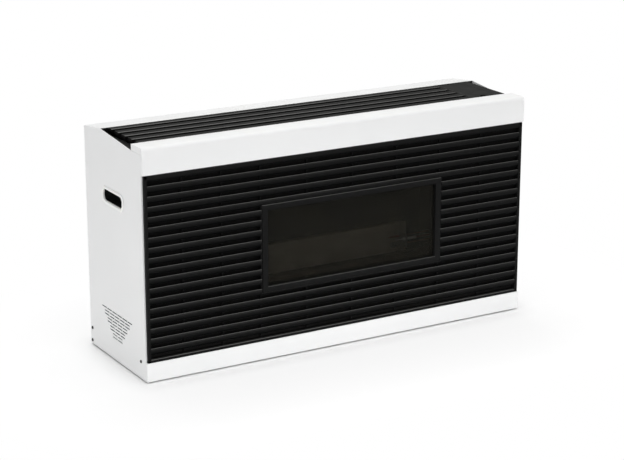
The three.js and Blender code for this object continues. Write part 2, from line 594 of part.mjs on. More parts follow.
function combustionChamber() {
  const { left, right, front, back, bottom, top, wall } = CHAMBER;
  const shell = cut(
    block([left, right], [front, back], [bottom, top]),
    block([left + wall, right - wall], [front + wall, back - wall], [bottom + wall, top - wall]),
  );
  const openings = [
    windowBlock(415, 160, front - 1, front + 4),
    rod('y', FLUE.radius + FIT, back - 4, back + 1, [FLUE.x, FLUE.z], 20),
    block([FLUE.x - 67, FLUE.x + 67], [back - 4, back + 1], [bottom + 8, bottom + 28]),
    rod('x', BURNER.radius + 0.6, right - 4, right + 1, [BURNER.y, BURNER.z], 20),
    rod('x', 4.2, right - 4, right + 1, [PILOT.y, PILOT.z], 8),
    rod('x', 3.6, right - 4, right + 1, [ELECTRODE.y, ELECTRODE.z], 8),
    rod('x', 3, right - 4, right + 1, [PROBE.y, PROBE.z], 8),
  ];
  const tip = top + FINS.height;
  const fins = Array.from({ length: FINS.count }, (_, i) => {
    const x = left + FINS.margin + i * FINS.pitch;
    return carried('x', polygon(
      [front + 14, top - 1], [back - 10, top - 1], [back - 26, tip], [front + 30, tip],
    ), x, x + FINS.sheet);
  });
  // The bracket that holds the injector before the burner's mouth.
  const reach = INJECTOR_SEAT;
  const bracket = cut(
    block([right - 1, reach], [BURNER.y - 26, BURNER.y + 24], [BURNER.z - 22, BURNER.z + 20]),
    block([right - 2, reach - 1.6], [BURNER.y - 24.4, BURNER.y + 22.4], [BURNER.z - 23, BURNER.z + 21]),
    rod('x', 7.4, reach - 4, reach + 2, [BURNER.y, BURNER.z], 12),
  );
  return join(cut(shell, openings), fins, bracket);
}

function burnerBar() {
  const { y, z, radius, wall, left, right } = BURNER;
  const outer = rod('x', radius, left, right, [y, z], 16);
  const bore = rod('x', radius - wall, left + 2, right + 1, [y, z], 16);
  const ports = Array.from({ length: BURNER_PORTS.count }, (_, i) => {
    const x = left + BURNER_PORTS.margin + i * BURNER_PORTS.pitch;
    const half = BURNER_PORTS.length / 2;
    return block([x, x + BURNER_PORTS.width], [y - half, y + half], [z + radius - 4, z + radius + 1]);
  });
  return cut(outer, bore, ports);
}

function burnerBracket(x) {
  const { y, z, radius } = BURNER;
  const floor = CHAMBER.bottom + CHAMBER.wall + FIT;
  return carried('x', polygon(
    [y - 30, floor], [y + 26, floor], [y + 26, floor + 10], [y + 22, z],
    ...arc(y, z, radius + FIT, 0, -180, 10), [y - 22, z], [y - 30, floor + 10],
  ), x, x + 2);
}

function pilotBurner() {
  const floor = CHAMBER.bottom + CHAMBER.wall + FIT;
  const stand = [226, 227.6];
  const plate = join(block(stand, [-31, -4], [floor, 192]), block(stand, [-46, -4], [160, 192]));
  const holes = [
    rod('x', 3.2 + FIT, 224, 230, [ELECTRODE.y, ELECTRODE.z], 8),
    rod('x', 2.4 + FIT, 224, 230, [PROBE.y, PROBE.z], 6),
  ];
  const at = [PILOT.y, PILOT.z];
  const body = rod('x', 5, 208, 229.6, at, 8);
  const hood = cut(rod('x', 6.5, 198, 210, at, 8), rod('x', 5.2, 197, 209, at, 8));
  const bore = rod('x', 2, 200, 215, at, 8);
  return cut(join(cut(plate, holes), body, hood), bore);
}

function injector() {
  const seat = INJECTOR_SEAT + FIT;
  const profile = [
    [0.9, 338], [3, 338], [6.8, 346], [6.8, seat], [9.6, seat], [9.6, 368], [3, 368], [0.9, 344],
  ];
  const loop = [...profile, profile[0]].map(([r, x]) => new THREE.Vector2(r, x));
  const lathe = new THREE.LatheGeometry(loop, 12).rotateZ(-Math.PI / 2);
  return solid(lathe.translate(0, BURNER.y, BURNER.z));
}

function ceramicPanel() {
  const back = CHAMBER.back - CHAMBER.wall - FIT;
  const floor = CHAMBER.bottom + CHAMBER.wall + FIT;
  const outline = polygon(
    [-205, floor], [-180, floor], [-180, 132], [234, 132], [234, floor], [259, floor], [259, 203], [-205, 203],
  );
  return carried('y', outline, back - 14, back);
}

function airBox() {
  const front = CHAMBER.back + FIT;
  const { halfWidth, back, bottom, top } = AIR_BOX;
  const [left, right] = [FLUE.x - halfWidth, FLUE.x + halfWidth];
  return cut(
    block([left, right], [front, back], [bottom, top]),
    block([left + SHEET, right - SHEET], [front - 1, back - SHEET], [bottom + SHEET, top - SHEET]),
    rod('y', AIR_INLET.radius + 1.5, back - 4, back + 1, [FLUE.x, FLUE.z], 20),
  );
}

// A spigot: a round duct with a flange round it, turned about its own axis.
function spigot(radius, wall, from, to, flangeRadius, flangeAt) {
  const inner = radius - wall;
  const profile = [
    [inner, from], [radius, from], [radius, flangeAt], [flangeRadius, flangeAt],
    [flangeRadius, flangeAt + 1.5], [radius, flangeAt + 1.5], [radius, to], [inner, to], [inner, from],
  ];
  const lathe = new THREE.LatheGeometry(profile.map(([r, y]) => new THREE.Vector2(r, y)), 20);
  return solid(lathe.translate(FLUE.x, 0, FLUE.z));
}

// A curved sheet behind the chamber that turns the rising air forward, out of the outlet.
function warmAirDeflector() {
  const { left, right, radius, z, back, sweep } = DEFLECTOR;
  const centre = [back - radius, z];
  const outline = polygon(...arc(...centre, radius, 0, sweep, 6), ...arc(...centre, radius - SHEET, sweep, 0, 6));
  const sheet = carried('x', outline, left, right);
  const tab = block([left, right], [back - SHEET, back], [z - 16, z + 1]);
  const reach = AIR_BOX.halfWidth + 3;
  return cut(join(sheet, tab), block([FLUE.x - reach, FLUE.x + reach], [100, 135], [380, AIR_BOX.top + 4]));
}

function combustionParts() {
  const group = new THREE.Group();
  add(group, 'combustion_chamber', combustionChamber(), HEATPROOF_BLACK);
  add(group, 'burner_bar', burnerBar(), STEEL);
  add(group, 'burner_bracket_left', burnerBracket(-214), ZINC_SHEET);
  add(group, 'burner_bracket_right', burnerBracket(264), ZINC_SHEET);
  add(group, 'ceramic_panel', ceramicPanel(), CERAMIC);
  add(group, 'injector', injector(), BRASS);
  add(group, 'pilot_burner', pilotBurner(), STEEL);
  const electrode = [ELECTRODE.y, ELECTRODE.z];
  add(group, 'spark_electrode', join(
    rod('x', 3.2, 220, 255, electrode, 10), rod('x', 1, 202, 221, electrode, 6),
  ), WHITE_CERAMIC);
  add(group, 'air_box', airBox(), ZINC_SHEET);
  add(group, 'flue_spigot', spigot(FLUE.radius, FLUE.wall, 16, BACK - FIT, 50, CHAMBER.back + FIT), STEEL);
  add(group, 'air_spigot', spigot(AIR_INLET.radius, AIR_INLET.wall, 118, BACK - FIT, 74, 128), ZINC_SHEET);
  add(group, 'warm_air_deflector', warmAirDeflector(), ZINC_SHEET);
  return group;
}

// ---- Gas train and controls ----
const PORTS = { inletY: -30, outletY: -62, sideZ: 402 };

function gasValve() {
  const { x, y } = KNOB;
  const { bottom, top, bonnetTop, halfWidth, halfDepth } = VALVE;
  const body = block([x - halfWidth, x + halfWidth], [y - halfDepth, y + halfDepth], [bottom, top]);
  const bonnet = rod('z', 14, top - 1, bonnetTop, [x, y], 16, 11.5);
  const bore = rod('z', 4.5, top, bonnetTop + 1, [x, y], 12);
  const side = x - halfWidth;
  const bosses = [
    rod('z', 8.5, bottom - 10, bottom + 1, [x, PORTS.inletY], 6),
    rod('z', 8.5, bottom - 10, bottom + 1, [x, PORTS.outletY], 6),
    rod('x', 5, side - 8, side + 1, [-40, PORTS.sideZ], 6),
    rod('x', 4, side - 6, side + 1, [-58, PORTS.sideZ], 6),
  ];
  const cover = rod('x', 13, x + halfWidth - 1, x + halfWidth + 4, [y, 408], 16, 11);
  return cut(join(body, bonnet, bosses, cover), bore);
}

// The spindle has a flat down one side. It slides in the cam, which turns with it on the bonnet.
function valveSpindle() {
  const { x, y } = KNOB;
  const flat = block([x + 2.6, x + 6], [y - 6, y + 6], [430, 480]);
  return join(cut(rod('z', 4, 436, 475, [x, y], 12), flat), rod('z', 6.4, 452.6, 454.6, [x, y], 12));
}

function valveCam() {
  const { x, y } = KNOB;
  const disc = rod('z', 9, 442.4, 445, [x, y], 16);
  const stop = block([x + 8, x + 12], [y - 2, y + 2], [442.4, 445]);
  const flat = block([x + 2.9, x + 6], [y - 6, y + 6], [440, 447]);
  return cut(join(disc, stop), cut(rod('z', 4.3, 441, 446, [x, y], 12), flat));
}

// The knob: a fluted grip on a thin skirt, with a D shaped bore and a pointer ridge.
function gasKnob() {
  const { x, y, bottom, height, radius } = KNOB;
  const flutes = 14;
  const points = Array.from({ length: 2 * flutes }, (_, i) => {
    const angle = (Math.PI * i) / flutes;
    const r = i % 2 ? radius - 1.2 : radius;
    return [r * Math.cos(angle), r * Math.sin(angle)];
  });
  const rounding = { bevelEnabled: true, bevelThickness: 1.2, bevelSize: 1.2, bevelSegments: 1, bevelOffset: -1.2 };
  const grip = carried('z', polygon(...points), bottom + 4, bottom + height - 1.2, rounding);
  const skirt = rod('z', radius + 3.5, bottom, bottom + 4, [0, 0], 24, radius + 2.5);
  const pointer = block([-1.2, 1.2], [-radius + 1, 0], [bottom + height - 2, bottom + height + 0.8]);
  const bore = cut(
    rod('z', 4.4, bottom - 1, 475.6, [0, 0], 12),
    block([3, 6], [-6, 6], [bottom - 2, 477]),
  );
  return cut(join(grip, skirt, pointer), bore).translate([x, y, 0]);
}

function igniterBody() {
  const at = [IGNITER.x, IGNITER.y];
  const shell = join(
    rod('z', 11, 410, TRAY.floor - FIT, at, 16), rod('z', 8.8, 450, 462, at, 16), rod('z', 3, 400, 411, at, 8),
  );
  return cut(shell, rod('z', 7.3, 430, 463, at, 16));
}

function igniterButton() {
  const profile = [[0, 445], [6.8, 445], [6.8, 469], [5.8, 470], [0, 470.4]];
  const lathe = new THREE.LatheGeometry(profile.map(([r, z]) => new THREE.Vector2(r, z)), 14);
  return solid(lathe.rotateX(Math.PI / 2).translate(IGNITER.x, IGNITER.y, 0));
}

// The elbow the gas supply screws into: its mouth faces the wall through the back panel.
function inletUnion() {
  const { x, y, z, end } = UNION;
  const body = rod('y', 13, y - 13, end - 16, [x, z], 16);
  const nut = rod('y', 17, end - 18, end, [x, z], 6);
  const neck = rod('z', 9, z, z + 25, [x, y], 6);
  const key = rod('x', 5, x - 20, x, [y, z], 8);
  return cut(join(body, nut, neck, key), rod('y', 7.6, end - 22, end + 1, [x, z], 16));
}

function gasParts() {
  const group = new THREE.Group();
  const { x, y } = KNOB;
  add(group, 'gas_valve', gasValve(), CAST_ALUMINIUM);
  add(group, 'valve_spindle', valveSpindle(), BRASS);
  add(group, 'valve_cam', valveCam(), ZINC_SHEET);
  add(group, 'spindle_spring', spring(5.6, 0.4, 445.4, 452.2, 3, [x, y]), STEEL);
  add(group, 'gas_knob', gasKnob(), BLACK_PLASTIC);
  add(group, 'igniter_body', igniterBody(), BLACK_PLASTIC);
  add(group, 'igniter_nut', cut(
    rod('z', 13, TRAY.floor + 2.4, 461, [IGNITER.x, IGNITER.y], 6),
    rod('z', 9.2, TRAY.floor + 2, 462, [IGNITER.x, IGNITER.y], 16),
  ), ZINC_SHEET);
  add(group, 'igniter_button', igniterButton(), WHITE_PLASTIC);
  add(group, 'igniter_spring', spring(5, 0.5, 430.4, 444.6, 4, [IGNITER.x, IGNITER.y]), STEEL);
  add(group, 'inlet_union', inletUnion(), BRASS);
  add(group, 'inlet_pipe', bent(5, [
    [x, PORTS.inletY, 377.6], [x, PORTS.inletY, 355], [x, PORTS.inletY + 2, 320], [x, 0, 270],
    [x, 40, 225], [x, UNION.y - 3, 180], [x, UNION.y, 140], [x, UNION.y, 105], [x, UNION.y, 85.4],
  ]), COPPER);
  add(group, 'burner_pipe', bent(4, [
    [x, PORTS.outletY, 377.6], [x, PORTS.outletY, 355], [x, PORTS.outletY, 220], [x, PORTS.outletY, 172],
    [x - 3, -58, 152], [x - 13, -51, 141], [x - 22, BURNER.y, BURNER.z], [368.4, BURNER.y, BURNER.z],
  ]), COPPER);
  add(group, 'pilot_pipe', bent(2, [
    [369.6, -40, 402], [358, -40, 402], [346, -39, 394], [340, -37, 375], [338, -33, 300], [338, -28, 220],
    [336, PILOT.y, 186], [328, PILOT.y, 171], [316, PILOT.y, PILOT.z], [300, PILOT.y, PILOT.z],
    [260, PILOT.y, PILOT.z], [230, PILOT.y, PILOT.z],
  ]), COPPER);
  const lead = bent(1.3, [
    [371.6, -58, 402], [362, -58, 402], [352, -56, 396], [347, -50, 372], [346, -30, 290], [345, -15, 215],
    [339, PROBE.y, 193], [327, PROBE.y, 182], [312, PROBE.y, PROBE.z], [290, PROBE.y, PROBE.z],
    [250, PROBE.y, PROBE.z], [228, PROBE.y, PROBE.z],
  ]);
  add(group, 'thermocouple', join(lead, rod('x', 2.4, 200, 232, [PROBE.y, PROBE.z], 8)), COPPER);
  add(group, 'ignition_lead', bent(1.8, [
    [IGNITER.x, IGNITER.y, 399.6], [IGNITER.x, IGNITER.y, 388], [392, 12, 366], [374, -6, 330],
    [360, -24, 280], [352, -34, 230], [345, -38, 198], [334, ELECTRODE.y, 183], [320, ELECTRODE.y, 180],
    [300, ELECTRODE.y, 180], [270, ELECTRODE.y, 180], [255.4, ELECTRODE.y, 180],
  ]), RED_SILICONE);
  const capillary = bent(1.2, [
    [328, -110, 24], [345, -110, 24], [372, -111, 34], [390, -112, 60], [396, -112, 120], [398, -110, 300],
    [398, -104, 370], [398, -92, 400], [398, -82, 406], [398, KNOB.y - 27.4, 406],
  ]);
  add(group, 'thermostat_bulb', join(rod('x', 4, 250, 330, [-110, 24], 10), capillary), COPPER);
  return group;
}

heater.add(casing(), frontParts(), outletParts(), combustionParts(), gasParts());

export default heater;
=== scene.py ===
"""A wall mounted gas heater: white enamelled sheet casing, black louvred front round a window on the
fire, slatted warm air outlet on top, and the controls under a lid at the outlet's right end.
Lengths are in millimetres until a mesh is made. +X is to the right, the front faces -Y, +Z is up."""
import json
import math

import bmesh
import bpy
import numpy as np
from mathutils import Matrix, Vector


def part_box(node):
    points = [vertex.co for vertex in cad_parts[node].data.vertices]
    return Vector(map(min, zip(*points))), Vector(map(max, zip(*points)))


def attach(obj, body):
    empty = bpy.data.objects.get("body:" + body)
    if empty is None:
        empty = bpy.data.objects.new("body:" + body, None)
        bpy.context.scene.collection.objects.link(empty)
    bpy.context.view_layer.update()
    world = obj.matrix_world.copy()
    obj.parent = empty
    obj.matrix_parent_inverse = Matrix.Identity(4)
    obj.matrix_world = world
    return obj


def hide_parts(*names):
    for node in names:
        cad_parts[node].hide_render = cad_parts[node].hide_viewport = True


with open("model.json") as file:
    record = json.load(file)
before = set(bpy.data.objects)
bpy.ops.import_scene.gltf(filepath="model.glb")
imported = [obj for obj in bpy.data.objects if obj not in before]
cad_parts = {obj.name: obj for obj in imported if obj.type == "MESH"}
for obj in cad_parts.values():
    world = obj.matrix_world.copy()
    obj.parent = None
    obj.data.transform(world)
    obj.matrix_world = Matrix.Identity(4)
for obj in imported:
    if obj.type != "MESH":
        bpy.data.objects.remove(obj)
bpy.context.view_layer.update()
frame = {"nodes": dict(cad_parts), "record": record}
NODES = frame["nodes"]
MM = 0.001


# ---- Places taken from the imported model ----
def box_mm(name):
    """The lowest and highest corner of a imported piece."""
    low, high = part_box(name)
    return np.array(low) / MM, np.array(high) / MM


CASE_LOW, CASE_HIGH = box_mm("top_rail")
LEFT, RIGHT, FRONT, HEIGHT = CASE_LOW[0], CASE_HIGH[0], CASE_LOW[1], CASE_HIGH[2]
UPPER_RAIL_BOTTOM = CASE_LOW[2]
OUTLET_EDGE = CASE_HIGH[1]
RAIL_LOW, RAIL_HIGH = box_mm("bottom_rail")
GRILLE_LOW, GRILLE_HIGH = box_mm("front_grille")
BEZEL_LOW, BEZEL_HIGH = box_mm("window_frame")
WINDOW = (BEZEL_LOW + BEZEL_HIGH) / 2
KNOB_LOW, KNOB_HIGH = box_mm("gas_knob")
BUTTON_LOW, BUTTON_HIGH = box_mm("igniter_button")

# ---- Sizes of the finished pieces ----
SHEET = 1.2
SIDE_TOP = 486.4
UPPER_RAIL = {"bend": 8, "fold": 1.0, "return": 7, "lip": 16}
LOWER_RAIL = {"fold": 1.5, "return": 7}
GRILLE_BORDER = {"side": 6.5, "top": 14, "bottom": 7, "depth": 7}
LOUVRES = {
    "count": 17, "pitch": 21.6, "first_top": 419.8, "set_back": 0.4,
    "radius": 12, "thickness": 2.2, "up": 22, "down": 60,
}
POSTS = (-379, -288, -197, -85, 27, 139, 251, 360)
POST = {"width": 4, "front": 7.6, "back": 12}
BEZEL = {"face": 13.5, "roll": 1.4, "wall": 1.5, "corner": 1.5}
SLEEVE = {"wall": 2, "gap": 0.4, "front": 2, "back": 8.4, "corner": 2}
GRIP = {"y": 4, "z": 362, "width": 92, "height": 24, "corner": 10, "rim": 7.5, "proud": 2.4, "sleeve": 2.4}
POCKET = {"inner": 4.1, "outer": 5.9, "depth": 29.8, "floor": 1.9, "fillet": 5}
SCREW = {"radius": 3.6, "height": 2.3, "rim": 0.3, "recess": 1.4, "bar": 0.9, "reach": 4.2, "shank": 1.8}
FLUTES = {"count": 16, "depth": 1.3}
SHARP_EDGE = 32  # degrees between two faces; a wider turn is drawn as an edge
BEVELLED_EDGE = 34  # degrees; a wider turn is rounded


# ---- Mesh making ----
def rings_joined(loops, closed):
    """Loops of equal length (m, n, 3) joined in turn by quads. A closed row joins its last loop to its
    first, as a tube bent round; an open row is shut by one face over each end loop."""
    loops = np.asarray(loops, float)
    m, n = loops.shape[:2]
    ring = np.arange(m if closed else m - 1)[:, None] * n
    across = np.arange(n)[None, :]
    after = (across + 1) % n
    following = (ring + n) % (m * n)
    quads = np.stack([ring + across, ring + after, following + after, following + across], -1).reshape(-1, 4)
    caps = [] if closed else [np.arange(n)[::-1], np.arange(n) + (m - 1) * n]
    return loops.reshape(-1, 3), quads, caps


def carried(outline, start, stop, axis=0):
    """A closed outline in the other two axes, moved straight along one axis between two places."""
    outline = np.asarray(outline, float)
    return rings_joined([np.insert(outline, axis, at, axis=1) for at in (start, stop)], False)


def block(x, y, z):
    """A plain bar between two limits on each axis, to be finished by a bevel."""
    outline = [(y[0], z[0]), (y[1], z[0]), (y[1], z[1]), (y[0], z[1])]
    return carried(outline, x[0], x[1])


def arc(centre, radius, start, stop, steps=8):
    """Points on a circle: centre + radius (cos a, sin a), with a in degrees from start to stop."""
    a = np.radians(np.linspace(start, stop, steps + 1))
    return np.stack([centre[0] + radius * np.cos(a), centre[1] + radius * np.sin(a)], 1)


def rounded_loop(width, height, radius, steps):
    """A rectangle about (0, 0) whose corners are quarter circles: corner centre + radius (cos a, sin a)."""
    a = np.radians(np.add.outer(np.arange(4) * 90, np.linspace(0, 90, steps + 1)))
    signs = np.array([(1, 1), (-1, 1), (-1, -1), (1, -1)])
    centres = signs * (width / 2 - radius, height / 2 - radius)
    return (centres[:, None, :] + radius * np.stack([np.cos(a), np.sin(a)], -1)).reshape(-1, 2)


def framed(section, width, height, radius, place, steps, closed=True):
    """A section of points (out, depth) carried round a rounded rectangle. Each point gives one loop:
    the rectangle grown by out, with its corner radius grown too, at that depth. place(u, v, depth)
    turns the loop's own axes into X, Y, Z."""
    loops = []
    for out, depth in section:
        corner = max(radius + out, 0.2)
        loop = rounded_loop(width + 2 * out, height + 2 * out, corner, steps)
        loops.append(place(loop[:, 0], loop[:, 1], np.full(len(loop), depth)))
    return rings_joined(loops, closed)


def turned(section, place, steps):
    """A section of points (radius, height) turned about its own axis; each end is shut by a flat face."""
    a = np.linspace(0, 2 * np.pi, steps, endpoint=False)
    loops = [place(r * np.cos(a), r * np.sin(a), np.full(steps, h)) for r, h in section]
    return rings_joined(loops, False)


def facing_front(x, z):
    """Places a loop drawn upright and facing the front about (x, z)."""
    return lambda u, v, depth: np.stack([x + u, depth, z + v], 1)


def facing_side(side, y, z):
    """Places a loop drawn on a side panel; depth is measured outwards from X = 0."""
    return lambda u, v, depth: np.stack([side * depth, y + u, z + v], 1)


def standing(x, y):
    """Places a turned section upright about (x, y)."""
    return lambda u, v, height: np.stack([x + u, y + v, height], 1)


def signed_volume(points, quads, caps):
    """Sum of the tetrahedra from the origin to each face's fan of triangles, times six; negative if
    turned inside out."""
    fans = [quads[:, [0, 1, 2]], quads[:, [0, 2, 3]]]
    fans += [np.stack([np.full(len(c) - 2, c[0]), c[1:-1], c[2:]], 1) for c in caps]
    a, b, c = np.moveaxis(points[np.vstack(fans)], 1, 0)
    return np.einsum("ij,ij->i", a, np.cross(b, c)).sum()


def mesh_of(name, shells):
    """One mesh from closed shells, each with its faces turned outwards, smooth but for its sharp edges."""
    points, faces, base = [], [], 0
    for spots, quads, caps in shells:
        if signed_volume(spots, quads, caps) < 0:
            quads, caps = quads[:, ::-1], [c[::-1] for c in caps]
        points.append(spots)
        faces += (quads + base).tolist() + [(c + base).tolist() for c in caps]
        base += len(spots)
    mesh = bpy.data.meshes.new(name)
    mesh.from_pydata((np.vstack(points) * MM).tolist(), [], faces)
    mesh.polygons.foreach_set("use_smooth", np.ones(len(faces), bool))
    mesh.set_sharp_from_angle(angle=math.radians(SHARP_EDGE))
    return mesh


def soften(piece, width, segments=2):
    """Rounds the piece's sharp edges, as paint, folding or moulding does."""
    bevel = piece.modifiers.new("rounded_edges", "BEVEL")
    bevel.width = width * MM
    bevel.segments = segments
    bevel.limit_method = "ANGLE"
    bevel.angle_limit = math.radians(BEVELLED_EDGE)
    bevel.harden_normals = False


def add_piece(name, shells, material, stands_for=(), body="casing", bevel=0.0):
    """Makes a piece, gives it its finish, fixes it to its body and hides what it stands for."""
    piece = bpy.data.objects.new(name, mesh_of(name, shells))
    bpy.context.scene.collection.objects.link(piece)
    piece.data.materials.append(material)
    if bevel:
        soften(piece, bevel)
    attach(piece, body)
    if stands_for:
        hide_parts(*stands_for)


def softened_copy(node, material, width, body="casing"):
    """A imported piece's own shape with its edges rounded: its triangles are welded, flat faces are
    made whole again, and a bevel follows every fold and cut edge."""
    mesh = NODES[node].data.copy()
    shape = bmesh.new()
    shape.from_mesh(mesh)
    bmesh.ops.remove_doubles(shape, verts=shape.verts, dist=1e-6)
    bmesh.ops.dissolve_limit(shape, angle_limit=math.radians(1), verts=shape.verts, edges=shape.edges)
    shape.to_mesh(mesh)
    shape.free()
    mesh.materials.clear()
    mesh.materials.append(material)
    mesh.polygons.foreach_set("use_smooth", np.ones(len(mesh.polygons), bool))
    mesh.set_sharp_from_angle(angle=math.radians(SHARP_EDGE))
    piece = bpy.data.objects.new(node + "_finished", mesh)
    bpy.context.scene.collection.objects.link(piece)
    soften(piece, width)
    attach(piece, body)
    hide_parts(node)


# ---- Materials ----
def colour(code):
    """An sRGB hex value as linear RGBA: each channel c becomes ((c + 0.055) / 1.055) ^ 2.4, or
    c / 12.92 if dark."""
    channels = np.array([int(code[i:i + 2], 16) for i in (1, 3, 5)]) / 255
    linear = np.where(channels <= 0.04045, channels / 12.92, ((channels + 0.055) / 1.055) ** 2.4)
    return (*linear.tolist(), 1.0)


def node(tree, kind, inputs=None, **settings):
    """Adds a shader node. A socket given as an input is linked, and any other value is set."""
    made = tree.nodes.new("ShaderNode" + kind)
    for key, value in settings.items():
        setattr(made, key, value)
    for key, value in (inputs or {}).items():
        if isinstance(value, bpy.types.NodeSocket):
            tree.links.new(value, made.inputs[key])
        else:
            made.inputs[key].default_value = value
    return made


def new_material(name, **surface):
    """A material with a Principled surface alone; returns it with its tree, its surface and the
    piece's Object coordinates."""
    material = bpy.data.materials.new(name)
    material.use_nodes = True
    tree = material.node_tree
    tree.nodes.clear()
    principled = node(tree, "BsdfPrincipled", surface)
    node(tree, "OutputMaterial", {"Surface": principled.outputs["BSDF"]})
    place = node(tree, "TexCoord").outputs["Object"]
    return material, tree, principled, place


def noise(tree, place, size, detail=3.0, roughness=0.5):
    """Soft noise whose blotches are about size millimetres across."""
    return node(tree, "TexNoise", {"Vector": place, "Scale": 1 / (size * MM), "Detail": detail,
                                   "Roughness": roughness}).outputs["Fac"]


def ramp(tree, factor, stops):
    """Colours or greys at places from 0 to 1, blended evenly between."""
    made = node(tree, "ValToRGB", {"Fac": factor})
    elements = made.color_ramp.elements
    while len(elements) < len(stops):
        elements.new(0.5)
    for element, (at, value) in zip(elements, stops):
        element.position = at
        element.color = colour(value) if isinstance(value, str) else (value, value, value, 1)
    return made.outputs["Color"]


def blend(tree, factor, a, b):
    """Mixes two colours, each a hex value or a socket."""
    made = node(tree, "Mix", {0: factor}, data_type="RGBA")
    for index, value in ((6, a), (7, b)):
        if isinstance(value, str):
            made.inputs[index].default_value = colour(value)
        else:
            tree.links.new(value, made.inputs[index])
    return made.outputs[2]


def maths(tree, operation, a, b):
    """One sum on two numbers or sockets, kept between 0 and 1."""
    return node(tree, "Math", {0: a, 1: b}, operation=operation, use_clamp=True).outputs[0]


def upward(tree):
    """How far a surface faces up, from 0 on walls and undersides to 1 on top."""
    normal = node(tree, "NewGeometry").outputs["Normal"]
    z = node(tree, "SeparateXYZ", {"Vector": normal}).outputs["Z"]
    return maths(tree, "POWER", z, 3.0)


def bump(tree, height, depth, strength=1.0):
    """Surface relief whose height map spans depth millimetres."""
    relief = node(tree, "Bump", {"Height": height, "Distance": depth * MM, "Strength": strength})
    return relief.outputs["Normal"]


def link(tree, surface, **inputs):
    """Links sockets to the surface's inputs, each named with _ for a space."""
    for name, socket in inputs.items():
        tree.links.new(socket, surface.inputs[name.replace("_", " ")])


def white_enamel():
    """Stoved white enamel on sheet steel: satin, with a faint orange peel that breaks up reflections."""
    material, tree, surface, place = new_material("stoved_white_enamel", **{
        "Specular IOR Level": 0.3, "IOR": 1.5})
    # Real orange peel is 1 to 2 mm across; it is drawn at 5 mm so that it shows.
    peel = noise(tree, place, 5, 2)
    cloud = noise(tree, place, 260, 2)
    base = blend(tree, cloud, "#E7E8E8", "#EDEDED")
    patches = ramp(tree, noise(tree, place, 40, 5), [(0.4, 0.0), (0.75, 0.35)])
    dust = maths(tree, "MULTIPLY", upward(tree), patches)
    link(tree, surface, Base_Color=blend(tree, dust, base, "#E2E1DC"),
         Roughness=ramp(tree, noise(tree, place, 90, 4), [(0.3, 0.36), (0.7, 0.46)]),
         Normal=bump(tree, peel, 0.05, 0.25))
    return material


def white_plastic():
    """Injection moulded white ABS: brighter and smoother than the enamel round it, softly rippled."""
    material, tree, surface, place = new_material("moulded_white_plastic", **{
        "Specular IOR Level": 0.5, "IOR": 1.53, "Subsurface Weight": 0.05, "Subsurface Scale": 0.001})
    link(tree, surface, Base_Color=blend(tree, noise(tree, place, 15, 2), "#F1F1F0", "#ECECEA"),
         Roughness=ramp(tree, noise(tree, place, 6, 3), [(0.3, 0.26), (0.7, 0.36)]),
         Normal=bump(tree, noise(tree, place, 1.2, 2), 0.02, 0.2))
    return material


def black_enamel():
    """Semi-matt black stoved enamel: deep, with a fine grain. Its colour carries painted light from above:
    greyer the more a face turns up, near black as it turns down. A painted highlight, lighter and shinier,
    runs along the edge where a face turns over into a top, so each blade carries a thin bright line, and
    level tops are dark again. Specks of lint settle on the faces that turn up."""
    material, tree, surface, place = new_material("stoved_black_enamel", **{"IOR": 1.5})
    normal = node(tree, "NewGeometry").outputs["Normal"]
    facing = node(tree, "SeparateXYZ", {"Vector": normal}).outputs["Z"]
    # Painted light from above, measured by how far a face turns up: 0 faces 20 degrees down, 0.26 is upright,
    # 1 faces straight up; the blotches are about 30 mm across.
    painted_light_facing = node(tree, "MapRange", {"Value": facing, "From Min": -0.35, "From Max": 1.0}).outputs["Result"]
    patches = ramp(tree, noise(tree, place, 30, 5, 0.6), [(0.3, 0.94), (0.7, 1.0)])
    # The painted light mask, which also sets where the lint specks settle.
    painted_light_and_dust = maths(tree, "MULTIPLY", painted_light_facing, patches)
    # Painted shade and highlight: near black on faces turned down, greyer as they turn up, a painted
    # highlight band (0.64 to 0.78) where a face turns over into a top, dark again on level tops.
    painted_light_colour = ramp(tree, painted_light_and_dust, [(0.0, "#070808"), (0.26, "#151515"), (0.53, "#2A2A29"), (0.58, "#323231"),
                              (0.64, "#5E5E5C"), (0.78, "#5E5E5C"), (0.86, "#232322")])
    # Painted highlight: the specular level is raised only on that edge band, so each blade shows a thin
    # bright line.
    painted_highlight_shine = ramp(tree, painted_light_facing, [(0.55, 0.04), (0.64, 0.4), (0.78, 0.4), (0.88, 0.03)])
    # Specks of lint are under 1 mm; drawn at 3 mm so that they show.
    lint = maths(tree, "MULTIPLY", painted_light_and_dust, ramp(tree, noise(tree, place, 3, 4, 0.7), [(0.5, 0.0), (0.8, 0.3)]))
    link(tree, surface, Base_Color=blend(tree, lint, painted_light_colour, "#444341"), Specular_IOR_Level=painted_highlight_shine,
         Roughness=ramp(tree, noise(tree, place, 22, 4), [(0.3, 0.30), (0.7, 0.40)]),
         Normal=bump(tree, noise(tree, place, 2.5, 3), 0.04, 0.3))
    return material


def black_plastic():
    """Glass filled black nylon: matt, with the sparkle of a spark eroded mould."""
    material, tree, surface, place = new_material("moulded_black_plastic", **{
        "Specular IOR Level": 0.3, "IOR": 1.53})
    link(tree, surface, Base_Color=blend(tree, noise(tree, place, 12, 3), "#161718", "#1E1F20"),
         Roughness=ramp(tree, noise(tree, place, 4, 3), [(0.3, 0.5), (0.7, 0.66)]),
         Normal=bump(tree, noise(tree, place, 1.0, 2), 0.05, 0.4))
    return material


